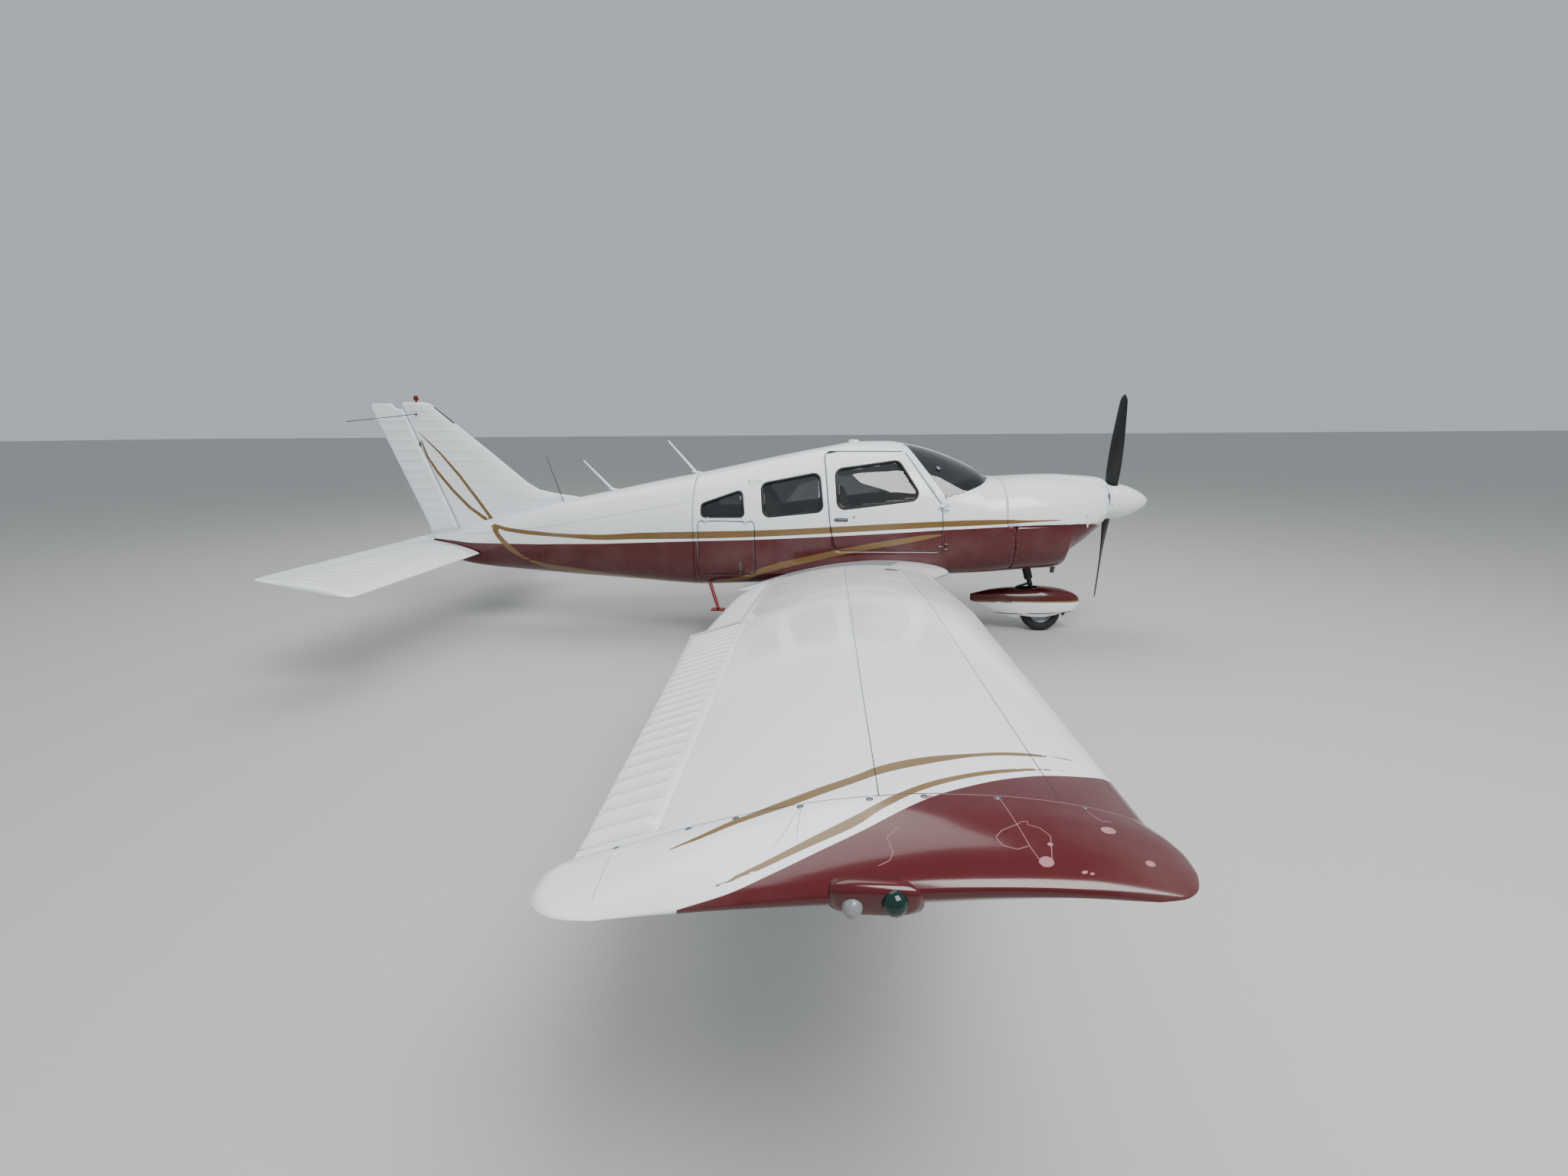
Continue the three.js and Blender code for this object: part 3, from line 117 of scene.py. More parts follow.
floor_mesh = bpy.data.meshes.new("floor")
floor_mesh.from_pydata([(-FLOOR, -FLOOR, 0), (FLOOR, -FLOOR, 0), (FLOOR, FLOOR, 0), (-FLOOR, FLOOR, 0)], [],
                       [(0, 1, 2, 3)])
floor = bpy.data.objects.new("floor", floor_mesh)
bpy.context.scene.collection.objects.link(floor)
# smooth cement screed, dusty
screed = surface_of("cement_screed", Base_Color="#b9b9b6", Roughness=0.8)
floor_mesh.materials.append(grained(screed, 0.04, 0.0003))

world = bpy.data.worlds.new("studio")
bpy.context.scene.world = world
world.use_nodes = True
world.node_tree.nodes["Background"].inputs["Color"].default_value = linear("#e3e9ef")
world.node_tree.nodes["Background"].inputs["Strength"].default_value = 0.62
# soft boxes: name, place, target, size, watts
for name, place, target, size, watts in (
        ("key_box", (4.0, -7.0, 9.0), (0.5, 0, 1.0), 6.0, 1200),
        ("top_box", (-2.0, 3.0, 10.0), (0, 0, 1.0), 9.0, 600)):
    lamp = bpy.data.objects.new(name, bpy.data.lights.new(name, "AREA"))
    bpy.context.scene.collection.objects.link(lamp)
    lamp.data.size = size
    lamp.data.energy = watts
    lamp.location = place
    lamp.rotation_euler = (Vector(target) - Vector(place)).to_track_quat("-Z", "Y").to_euler()


# Fuselage skins: aluminium sheet riveted over frames as cabin and tail cone, with a moulded fibreglass
# cowl in front. White gloss above, dark red below, a gold stripe along their join and one that sweeps
# under it.
MM = 0.001
WING_LE = 1.558
# x, top, bottom, half width, height of the widest point, upper exponent, lower exponent
HULL = np.array([
    (1655, 1392, 1080, 190, 1225, 2.0, 2.0), (1640, 1410, 1050, 245, 1215, 2.0, 2.0),
    (1600, 1424, 1008, 310, 1190, 2.1, 2.0), (1546, 1433, 958, 352, 1160, 2.2, 2.1),
    (1429, 1442, 858, 415, 1120, 2.4, 2.2), (1304, 1449, 758, 462, 1090, 2.5, 2.4),
    (1271, 1451, 716, 472, 1085, 2.5, 2.6), (1244, 1453, 648, 480, 1080, 2.6, 2.8),
    (1150, 1456, 634, 505, 1070, 2.6, 3.0), (952, 1458, 628, 535, 1060, 2.6, 3.2),
    (770, 1451, 618, 552, 1050, 2.6, 3.4), (680, 1448, 614, 558, 1045, 2.6, 3.6),
    (604, 1450, 610, 560, 1040, 2.5, 3.8), (475, 1530, 603, 563, 1035, 2.3, 3.9),
    (330, 1602, 597, 565, 1030, 2.2, 4.0), (150, 1674, 587, 567, 1030, 2.2, 4.0),
    (0, 1719, 580, 568, 1030, 2.2, 4.0), (-133, 1748, 572, 569, 1030, 2.2, 4.0),
    (-300, 1771, 562, 570, 1030, 2.2, 4.0), (-552, 1768, 547, 570, 1030, 2.2, 4.0),
    (-870, 1719, 528, 566, 1025, 2.2, 4.0), (-1137, 1670, 511, 558, 1020, 2.2, 3.9),
    (-1390, 1620, 495, 546, 1010, 2.2, 3.8), (-1607, 1575, 482, 530, 1000, 2.2, 3.7),
    (-1845, 1526, 468, 505, 990, 2.2, 3.6), (-2035, 1488, 461, 480, 980, 2.2, 3.5),
    (-2214, 1455, 465, 452, 970, 2.2, 3.3), (-2511, 1398, 480, 402, 955, 2.2, 3.1),
    (-2865, 1326, 499, 347, 935, 2.2, 2.9), (-3190, 1262, 517, 297, 920, 2.2, 2.8),
    (-3530, 1186, 540, 245, 900, 2.2, 2.7), (-3820, 1120, 560, 200, 885, 2.2, 2.6),
    (-4200, 1030, 592, 140, 868, 2.2, 2.5), (-4460, 938, 640, 95, 850, 2.2, 2.4),
    (-4705, 882, 826, 16, 856, 2.0, 2.0)], float) * [MM, MM, MM, MM, MM, 1, 1] + [WING_LE, 0, 0, 0, 0, 0, 0]
SHEET = 0.002
LINING = 0.034
SEAM_TOP, SEAM_LOW, SEAM_Z = WING_LE + 0.690, WING_LE + 0.772, 1.062
TAIL_JOINT = WING_LE - 2.030
NOSE_END, TAIL_END = WING_LE + 1.655, WING_LE - 4.705
BUTT = 0.0012
LEAF_GAP = 0.007
MOULDING = 0.003
CABIN_MIDDLE = (WING_LE - 0.7, 0, 1.05)
# side-view outlines (x, z) of the cut-outs, each with its corner radius
DOOR = ([(-868, 1690), (-164, 1690), (-12, 1461), (143, 1241), (172, 842), (-770, 842), (-812, 1060),
         (-851, 1494)], 0.055)
FRONT = ([(-766, 1539), (-222, 1612), (-22, 1291), (-742, 1203)], 0.062)
REAR = ([(-1411, 1416), (-904, 1512), (-870, 1190), (-1386, 1137)], 0.055)
AFT = ([(-1945, 1240), (-1583, 1363), (-1558, 1137), (-1943, 1130)], 0.035)
HATCH = ([(-1466, 1097), (-1986, 1097), (-1986, 600), (-1466, 610)], 0.040)
SCREEN = ([(-160, 1745), (172, 1290), (326, 1330), (475, 1386), (606, 1455), (620, 1900), (-260, 1900)],
          0.012)
# heights of the paint lines along the starboard side: x, height
RED_TOP = [(1697, 1027), (1310, 1074), (997, 1074), (686, 1062), (408, 1047), (159, 1034), (-181, 1011),
           (-1454, 940), (-1984, 916), (-2542, 884), (-2977, 861), (-3274, 851), (-3578, 839), (-3950, 835),
           (-4248, 832), (-4477, 849), (-4710, 858)]
STRIPE_TOP = [(1300, 1103), (1146, 1116), (994, 1120), (682, 1122), (405, 1119), (156, 1109), (-183, 1093),
              (-1452, 1022), (-1981, 1002), (-2537, 975), (-2970, 947), (-3266, 947), (-3569, 963),
              (-3870, 989), (-4021, 1021)]
STRIPE_LOW = [(1300, 1103), (1147, 1106), (995, 1102), (684, 1084), (407, 1069), (158, 1057), (-182, 1038),
              (-1453, 962), (-1983, 937), (-2540, 915), (-2974, 897), (-3269, 909), (-3571, 922),
              (-3868, 951), (-4020, 991)]
SWOOSH_TOP = [(190, 1001), (42, 993), (-179, 963), (-600, 888), (-1000, 798), (-1371, 700), (-1601, 592),
              (-1882, 535), (-2167, 520), (-2599, 538), (-3027, 587), (-3316, 624), (-3472, 640),
              (-3683, 697), (-3823, 801), (-3942, 917), (-4008, 1003)]
SWOOSH_LOW = [(190, 997), (44, 959), (-177, 913), (-600, 835), (-1000, 740), (-1374, 635), (-1613, 540),
              (-1882, 490), (-2167, 478), (-2599, 495), (-3051, 543), (-3335, 581), (-3505, 596),
              (-3691, 669), (-3859, 760), (-3975, 877), (-4052, 996)]


def from_wing(points):
    """Millimetres from the wing's leading edge and the ground, as metres in the aircraft's frame."""
    points = np.array(points, float) * MM
    points[..., 0] += WING_LE
    return points


def along(table, column, at):
    """Monotone cubic through a column of a table ordered by its first one: Hermite pieces whose slope at
    an inner row is the harmonic mean of the slopes beside it, or nought at a turning point."""
    rows = table[np.argsort(table[:, 0])]
    xs, ys = rows[:, 0], rows[:, column]
    slope = np.diff(ys) / np.diff(xs)
    product, total = slope[:-1] * slope[1:], slope[:-1] + slope[1:]
    inner = np.where(product > 0, 2 * product / np.where(product > 0, total, 1), 0)
    tangent = np.concatenate([slope[:1], inner, slope[-1:]])
    at = np.clip(at, xs[0], xs[-1])
    i = np.clip(np.searchsorted(xs, at) - 1, 0, len(xs) - 2)
    h = xs[i + 1] - xs[i]
    t = (at - xs[i]) / h
    return ((2 * t ** 3 - 3 * t ** 2 + 1) * ys[i] + (t ** 3 - 2 * t ** 2 + t) * h * tangent[i]
            + (3 * t ** 2 - 2 * t ** 3) * ys[i + 1] + (t ** 3 - t ** 2) * h * tangent[i + 1])


def hull(x, turn, inset=0.0):
    """Fuselage point at station x and direction `turn` about the height of the widest point, from port
    over the top: its radius is (|cos / w|^n + |sin / h|^n)^(-1/n), a superellipse of half width w and
    height h."""
    top, low, half, mid, n_top, n_low = (along(HULL, column, x) for column in range(1, 7))
    c, s = np.cos(turn), np.sin(turn)
    n = np.where(s >= 0, n_top, n_low)
    height = np.maximum(np.where(s >= 0, top - mid, mid - low) - inset, 0.003)
    radius = ((np.abs(c) / np.maximum(half - inset, 0.003)) ** n + (np.abs(s) / height) ** n) ** (-1 / n)
    return np.stack([x + 0 * turn, radius * c, mid + radius * s], -1)


def skin_y(x, z, inset=0.0):
    """Half width of the fuselage at a station and a height: w (1 - share^n)^(1/n)."""
    top, low, half, mid, n_top, n_low = (along(HULL, column, x) for column in range(1, 7))
    over = z >= mid
    share = np.abs(z - mid) / (np.where(over, top - mid, mid - low) - inset)
    n = np.where(over, n_top, n_low)
    return (half - inset) * np.maximum(1 - share ** n, 0) ** (1 / n)


def drawn_in(shape):
    """Corners of a convex outline moved in by its corner radius, with the outward normal of each of its
    sides."""
    corners, radius = from_wing(shape[0]), shape[1]
    after = np.roll(corners, -1, 0)
    if (corners[:, 0] * after[:, 1] - corners[:, 1] * after[:, 0]).sum() < 0:
        corners = corners[::-1]
    side = np.roll(corners, -1, 0) - corners
    normal = np.stack([side[:, 1], -side[:, 0]], -1) / np.linalg.norm(side, axis=1)[:, None]
    before = np.roll(normal, 1, 0)
    return corners - radius * (before + normal) / (1 + (before * normal).sum(-1, keepdims=True)), normal


def outline(shape, grow=0.0):
    """Signed distance in side view to a convex outline with round corners, positive outside: the distance
    to the outline drawn in by its corner radius, less that radius."""
    corners, normal = drawn_in(shape)
    span = np.roll(corners, -1, 0) - corners

    def distance(points):
        to = points[..., [0, 2]][..., None, :] - corners
        share = np.clip((to * span).sum(-1) / (span * span).sum(-1), 0, 1)
        near = np.sqrt(((to - span * share[..., None]) ** 2).sum(-1)).min(-1)
        inside = ((to * normal).sum(-1) < 0).all(-1)
        return np.where(inside, -near, near) - shape[1] - grow
    return distance


def run(points):
    """Distances along a polyline from its first point."""
    return np.concatenate([[0], np.cumsum(np.linalg.norm(np.diff(points, axis=0), axis=1))])


def rim(shape, grow=0.0, step=0.012):
    """Points (x, z) at even steps round a convex outline with round corners: an arc about each drawn-in
    corner, from the normal of the side before it to that of the side after it, joined by straight
    sides."""
    corners, normal = drawn_in(shape)
    before = np.roll(normal, 1, 0)
    t = np.linspace(0, 1, 9)[:, None, None]
    arc = before * (1 - t) + normal * t
    arc = arc / np.linalg.norm(arc, axis=-1, keepdims=True) * (shape[1] + grow)
    loop = (corners + arc).transpose(1, 0, 2).reshape(-1, 2)
    loop = np.concatenate([loop, loop[:1]])
    length = run(loop)
    at = np.linspace(0, length[-1], int(length[-1] / step) + 1)[:-1]
    return np.stack([np.interp(at, length, loop[:, 0]), np.interp(at, length, loop[:, 1])], -1)


def on_side(flat, side, inset=0.0):
    """Points of a side view laid on the fuselage's side (1 port, -1 starboard), and the skin's normals
    there."""
    x, z = flat[:, 0], flat[:, 1]
    y = skin_y(x, z, inset)
    d = 0.001
    normal = np.stack([-(skin_y(x + d, z, inset) - y) / d, np.ones(len(x)),
                       -(skin_y(x, z + d, inset) - y) / d], -1)
    normal /= np.linalg.norm(normal, axis=1, keepdims=True)
    return np.stack([x, y * side, z], -1), normal * [1, side, 1]


def grid(points, wrap=False):
    """Points and quads of an array of rows of points, closed across each row when wrapped."""
    points = np.asarray(points, float)
    index = np.arange(points.shape[0] * points.shape[1]).reshape(points.shape[:2])
    if wrap:
        index = np.concatenate([index, index[:, :1]], 1)
    quads = np.stack([index[:-1, :-1], index[1:, :-1], index[1:, 1:], index[:-1, 1:]], -1).reshape(-1, 4)
    return points.reshape(-1, 3), [quads]


def trimmed(surface, keep, u, v, wrap=False):
    """Points and faces of surface(u, v) where keep(points) is positive. On each grid edge that the rim
    crosses, the nearer end slides onto the rim by Newton steps down the gradient of keep; faces beyond
    the rim go."""
    U, V = (a.copy() for a in np.meshgrid(u, v, indexing="ij"))
    F = keep(surface(U, V))
    near = np.zeros(F.shape, bool)
    for axis in (0, 1):
        there = np.roll(F, -1, axis)
        crossed = F * there < 0
        if axis == 0 or not wrap:
            crossed[(slice(None),) * axis + (-1,)] = False
        closer = np.abs(F) <= np.abs(there)
        near |= crossed & closer
        near |= np.roll(crossed & ~closer, 1, axis)
    uu, vv, step = U[near], V[near], 1e-4
    for _ in range(8):
        here, beside_u, beside_v = surface(uu, vv), surface(uu + step, vv), surface(uu, vv + step)
        f = keep(here)
        length_u = np.linalg.norm(beside_u - here, axis=-1) / step + 1e-9
        length_v = np.linalg.norm(beside_v - here, axis=-1) / step + 1e-9
        slope_u = (keep(beside_u) - f) / step / length_u
        slope_v = (keep(beside_v) - f) / step / length_v
        move = np.clip(-f / (slope_u ** 2 + slope_v ** 2 + 1e-6), -0.02, 0.02)
        uu, vv = uu + move * slope_u / length_u, vv + move * slope_v / length_v
    U[near], V[near] = uu, vv
    points, quads = grid(surface(U, V), wrap)
    quads = quads[0]
    side = np.where(near, 0, np.sign(F)).ravel()[quads]
    whole = (side >= 0).all(1) & (side > 0).any(1)
    flat = (side == 0).all(1)
    whole[flat] = keep(points[quads[flat]].mean(1)) > 0
    corners = [(side[:, k] > 0) & (side[:, (k + 2) % 4] < 0) for k in range(4)]
    triangles = [quads[hit][:, [(k + 3) % 4, k, (k + 1) % 4]] for k, hit in enumerate(corners)]
    return points, [quads[whole], np.concatenate(triangles)]


def drawn_shut(rows):
    """Rows of points with one more at either end, drawn together to the middle of the last."""
    ends = [np.repeat(row.mean(0)[None], len(row), 0)[None] for row in (rows[0], rows[-1])]
    return np.concatenate([ends[0], rows, ends[1]])


def swept(path, normal, profile, closed=False):
    """Closed profile of (across, out) carried along a path whose surface normals point out; the ends of
    an open path are drawn together to its end points."""
    path, normal, profile = (np.asarray(a, float) for a in (path, normal, profile))
    ring = np.concatenate([path[-1:], path, path[:1]]) if closed else path
    tangent = ring[2:] - ring[:-2] if closed else np.gradient(path, axis=0)
    across = np.cross(tangent, normal)
    across /= np.linalg.norm(across, axis=1, keepdims=True) + 1e-12
    rows = path[:, None] + profile[:, 0, None] * across[:, None] + profile[:, 1, None] * normal[:, None]
    return grid(np.concatenate([rows, rows[:1]]) if closed else drawn_shut(rows), True)


def unit(vectors):
    """Vectors made one long."""
    return vectors / np.linalg.norm(vectors, axis=-1, keepdims=True)


def round_turn(count):
    """Directions at even steps round a circle, in radians."""
    return np.arange(count) / count * 2 * np.pi


def rod(path, radius, sides=10):
    """Round bar along a path; radius is one value or one for each point."""
    path = np.asarray(path, float)
    tangent = unit(np.gradient(path, axis=0))
    first = unit(np.cross(tangent, np.eye(3)[np.abs(tangent).mean(0).argmin()]))
    second = np.cross(tangent, first)
    turn = round_turn(sides)
    ring = np.cos(turn)[:, None] * first[:, None] + np.sin(turn)[:, None] * second[:, None]
    rows = path[:, None] + ring * np.broadcast_to(radius, len(path))[:, None, None]
    ends = [np.repeat(point[None], sides, 0)[None] for point in (path[0], path[-1])]
    return grid(np.concatenate([ends[0], rows, ends[1]]), True)


def lathe(centre, axis, profile, sides=48):
    """Surface of revolution about an axis through a centre; profile rows are (along the axis, radius)."""
    axis = np.asarray(axis, float) / np.linalg.norm(axis)
    profile = np.asarray(profile, float)
    first = np.cross(axis, np.eye(3)[np.abs(axis).argmin()])
    first /= np.linalg.norm(first)
    turn = round_turn(sides)
    ring = np.cos(turn)[:, None] * first + np.sin(turn)[:, None] * np.cross(axis, first)
    rows = np.asarray(centre) + profile[:, 0, None, None] * axis + profile[:, 1, None, None] * ring
    return grid(rows, True)


def studs(points, normals, radius, height, sides=6):
    """Low domes on a surface: round each point a ring of the given radius and a top `height` out along its
    normal."""
    points, normals = np.asarray(points, float), np.asarray(normals, float)
    aside = np.where(np.abs(normals[:, :1]) < 0.7, [[1.0, 0, 0]], [[0, 1.0, 0]])
    first = unit(np.cross(normals, aside))
    second = np.cross(normals, first)
    turn = round_turn(sides)
    ring = np.cos(turn)[:, None] * first[:, None] + np.sin(turn)[:, None] * second[:, None]
    low = points[:, None] + ring * radius - normals[:, None] * height * 0.3
    high = points[:, None] + ring * radius * 0.6 + normals[:, None] * height * 0.8
    top = (points + normals * height)[:, None]
    stack = np.concatenate([low, high, top], 1)
    k, after = np.arange(sides), (np.arange(sides) + 1) % sides
    quads = np.stack([k, after, after + sides, k + sides], -1)
    caps = np.stack([k + sides, after + sides, np.full(sides, 2 * sides)], -1)
    start = np.arange(len(points))[:, None, None] * (2 * sides + 1)
    return stack.reshape(-1, 3), [(quads + start).reshape(-1, 4), (caps + start).reshape(-1, 3)]


def turned_out(patch, inner):
    """Patch with its faces wound so that, on the whole, they look away from a point."""
    points, groups = patch
    facing = 0.0
    for faces in groups:
        a, b, c, d = (points[faces[:, k]] for k in (0, 1, 2, -1))
        facing += (np.cross(c - a, d - b) * (points[faces].mean(1) - inner)).sum()
    return (points, groups) if facing > 0 else (points, [faces[:, ::-1] for faces in groups])


def build(name, patches, body, look, slot, stands_for=(), inner=None, wall=0.0, smooth=True):
    """Piece from patches of (points, groups of faces): each is turned away from `inner`, or from its own
    middle, then all are merged at their doubles and set on a CAD body with a material; the slot is not used."""
    patches = [turned_out(p, p[0].mean(0) if inner is None else np.asarray(inner)) for p in patches]
    points = np.concatenate([p[0] for p in patches])
    start = np.cumsum([0] + [len(p[0]) for p in patches])
    faces = [group + start[k] for k, p in enumerate(patches) for group in p[1] if len(group)]
    used, back = np.unique(np.concatenate([group.ravel() for group in faces]), return_inverse=True)
    points = points[used]
    sizes = np.concatenate([np.full(len(group), group.shape[1]) for group in faces])
    mesh = bpy.data.meshes.new(name)
    mesh.vertices.add(len(points))
    mesh.vertices.foreach_set("co", points.ravel())
    mesh.loops.add(len(back))
    mesh.loops.foreach_set("vertex_index", back.ravel())
    mesh.polygons.add(len(sizes))
    mesh.polygons.foreach_set("loop_start", np.concatenate([[0], np.cumsum(sizes)[:-1]]))
    mesh.update(calc_edges=True)
    work = bmesh.new()
    work.from_mesh(mesh)
    bmesh.ops.remove_doubles(work, verts=work.verts, dist=2e-5)
    bmesh.ops.dissolve_degenerate(work, edges=work.edges, dist=1e-6)
    work.to_mesh(mesh)
    work.free()
    mesh.polygons.foreach_set("use_smooth", np.full(len(mesh.polygons), smooth))
    made = bpy.data.objects.new(name, mesh)
    bpy.context.scene.collection.objects.link(made)
    mesh.materials.append(look)
    if wall:
        solid = made.modifiers.new("wall", "SOLIDIFY")
        solid.thickness = wall
        solid.offset = -1
    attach(made, body)
    if stands_for:
        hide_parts(*stands_for)
    return made


def painted(made, scheme):
    """Stores a paint scheme on a piece: scheme(points) gives two signed distances in metres, positive
    where the dark red and where the gold lies over the white."""
    mesh = made.data
    points = np.empty(len(mesh.vertices) * 3, np.float32)
    mesh.vertices.foreach_get("co", points)
    for name, values in zip(("red", "gold"), scheme(points.reshape(-1, 3).astype(float))):
        layer = mesh.attributes.new(name, "FLOAT", "POINT")
        layer.data.foreach_set("value", np.broadcast_to(values, len(mesh.vertices)).astype(np.float32))
    return made


def side_scheme(points):
    """Livery of the fuselage from the paint lines of its side view."""
    x, z = points[:, 0], points[:, 2]
    red_top, stripe_top, stripe_low, swoosh_top, swoosh_low = (
        along(from_wing([(a, 0, b) for a, b in line]), 2, x)
        for line in (RED_TOP, STRIPE_TOP, STRIPE_LOW, SWOOSH_TOP, SWOOSH_LOW))
    stripe = np.minimum.reduce([stripe_top - z, z - stripe_low, WING_LE + 1.300 - x, x - WING_LE + 4.021])
    swoosh = np.minimum.reduce([swoosh_top - z, z - swoosh_low, WING_LE + 0.190 - x, x - WING_LE + 4.060])
    return red_top - z, np.maximum(stripe, swoosh)


def enamel(name, white, red, gold, rough=0.16):
    """Two-pack gloss in up to three colours, split where the piece's paint distances rise above nought,
    with orange peel and a film of dust that dulls it in clouds. A piece without distances is white."""
    made = surface_of(name, Roughness=rough, Coat_Weight=0.3, Coat_Roughness=0.06)
    tree = made.node_tree
    shader = tree.nodes["Principled BSDF"]
    place = node(tree, "TexCoord").outputs["Object"]
    colour = linear(white)
    for layer, code in (("red", red), ("gold", gold)):
        distance = node(tree, "Attribute", attribute_name=layer).outputs["Fac"]
        inside = node(tree, "MapRange", {"Value": distance, "From Min": 0.0002, "From Max": 0.0010})
        colour = node(tree, "Mix", {0: inside.outputs["Result"], 6: colour, 7: linear(code)},
                      data_type="RGBA").outputs[2]
    cloud = node(tree, "TexNoise", {"Vector": place, "Scale": 2.5, "Detail": 6.0, "Roughness": 0.6})
    grime = node(tree, "MapRange", {"Value": cloud.outputs["Fac"], "From Min": 0.45, "From Max": 0.75,
                                    "To Max": 0.09})
    dusty = node(tree, "Mix", {0: grime.outputs["Result"], 6: colour, 7: linear("#a8a49b")},
                 data_type="RGBA")
    tree.links.new(dusty.outputs[2], shader.inputs["Base Color"])
    dull = node(tree, "MapRange", {"Value": cloud.outputs["Fac"], "From Min": 0.4, "From Max": 0.75,
                                   "To Min": rough, "To Max": rough + 0.12})
    tree.links.new(dull.outputs["Result"], shader.inputs["Roughness"])
    peel = node(tree, "TexNoise", {"Vector": place, "Scale": 220.0, "Detail": 2.0})
    bump = node(tree, "Bump", {"Height": peel.outputs["Fac"], "Distance": 0.00006, "Strength": 1.0})
    tree.links.new(bump.outputs["Normal"], shader.inputs["Normal"])
    return made


# white, dark red and bronze-gold polyurethane enamel sprayed on the aluminium and fibreglass
enamel_paint = enamel("polyurethane_enamel", "#eef2f5", "#4d040a", "#755a30")


def coated(name, patches, body, scheme, *rest, slot="white_paint"):
    """Piece built in the enamel and given its paint scheme; rest is what build() takes after the slot."""
    return painted(build(name, patches, body, enamel_paint, slot, *rest), scheme)


# ribbed foam-backed headliner and side panels, grey-beige
headliner = grained(surface_of("moulded_headliner", Base_Color="#8f887c", Roughness=0.85),
                    0.004, 0.0004, 0.06)

openings = {name: outline(shape) for name, shape in (
    ("door", DOOR), ("front", FRONT), ("rear", REAR), ("aft", AFT), ("hatch", HATCH), ("screen", SCREEN))}


def cut_out(points):
    """Distance to the nearest cut-out of the cabin: doors to starboard, the front window to port, the
    others on both sides."""
    port = points[..., 1] > 0
    both = np.minimum.reduce([openings[name](points) for name in ("rear", "aft", "screen")])
    leaves = np.minimum(openings["door"](points), openings["hatch"](points))
    return np.minimum(both, np.where(port, openings["front"](points), leaves))


def cowl_joint(points):
    """Distance aft of the step-shaped joint between cabin and cowl: further forward below the cowl's
    split."""
    x, z = points[..., 0], points[..., 2]
    return np.maximum(SEAM_TOP - x, np.minimum(SEAM_LOW - x, SEAM_Z - z)) - BUTT


turn = np.linspace(-np.pi / 2, 3 * np.pi / 2, 145)[:-1]
stations = np.arange(TAIL_JOINT + BUTT, SEAM_LOW + 0.03, 0.02)
cabin = trimmed(hull, lambda p: np.minimum(cut_out(p), cowl_joint(p)), stations, turn, True)
coated("cabin_skin", [cabin], "airframe", side_scheme, ["cabin_shell"], CABIN_MIDDLE, SHEET)
inside = trimmed(lambda u, v: hull(u, v, LINING), cut_out,
                 np.arange(TAIL_JOINT + 0.02, WING_LE + 0.64, 0.03),
                 turn[::2], True)
build("cabin_lining", [inside], "airframe", headliner, "floor_metal", (), CABIN_MIDDLE, MOULDING)

tail = trimmed(hull, lambda p: p[..., 0] * 0 + 1, np.concatenate([
    np.arange(TAIL_END, TAIL_END + 0.06, 0.006), np.arange(TAIL_END + 0.06, TAIL_JOINT, 0.03),
    [TAIL_JOINT - BUTT]]),
    turn[::2], True)
coated("tail_cone_skin", [tail], "airframe", side_scheme, ["tail_cone"], (WING_LE - 3.3, 0, 0.9), SHEET)


# Engine cowl: two fibreglass mouldings that meet along a level split, latched and screwed, with an air inlet
# on each side of the propeller shaft, an intake in the chin and an outlet in its heel.
INLET = [(105, 1195), (290, 1205), (275, 1305), (105, 1340)]
INLET_ROUND = 0.030
CHIN = [(-90, 905), (90, 905), (75, 985), (-75, 985)]
SHAFT_Z, SHAFT_HOLE = 1.225, 0.075
CHIN_ROUND = 0.025
FRONT_FACE = WING_LE + 1.38
HEEL_X, HEEL_HALF_LENGTH, HEEL_HALF_WIDTH, HEEL_TOP = WING_LE + 1.2315, 0.028, 0.21, 0.76
HUMP_HALF, HUMP_EDGE, HUMP_RISE = 0.14, 0.035, 0.014


def front_view(corners, radius):
    """Outline for a front view: the corners (y, z) as an (x, z) shape about the nose."""
    return [(y - WING_LE / MM, z) for y, z in corners], radius


def cowl_open(points):
    """Distance to the inlets, the shaft's hole and the chin intake, all cut along the flight line, and to
    the outlet under the heel."""
    seen = np.stack([points[..., 1], 0 * points[..., 1], points[..., 2]], -1)
    inlet = outline(front_view(INLET, INLET_ROUND))(np.abs(seen))
    shaft = np.hypot(points[..., 1], points[..., 2] - SHAFT_Z) - SHAFT_HOLE
    chin = outline(front_view(CHIN, CHIN_ROUND))(seen)
    front = np.minimum(np.minimum(inlet, shaft), chin)
    heel = np.maximum(np.abs(points[..., 0] - HEEL_X) - HEEL_HALF_LENGTH,
                      np.abs(points[..., 1]) - HEEL_HALF_WIDTH)
    heel = np.maximum(heel, points[..., 2] - HEEL_TOP)
    return np.minimum(np.where(points[..., 0] > FRONT_FACE, front, 1.0), heel)


nose = np.concatenate([np.arange(SEAM_TOP, WING_LE + 1.22, 0.02),
                       np.arange(WING_LE + 1.22, WING_LE + 1.30, 0.006),
                       np.arange(WING_LE + 1.30, WING_LE + 1.58, 0.016),
                       np.linspace(WING_LE + 1.58, NOSE_END, 16)])


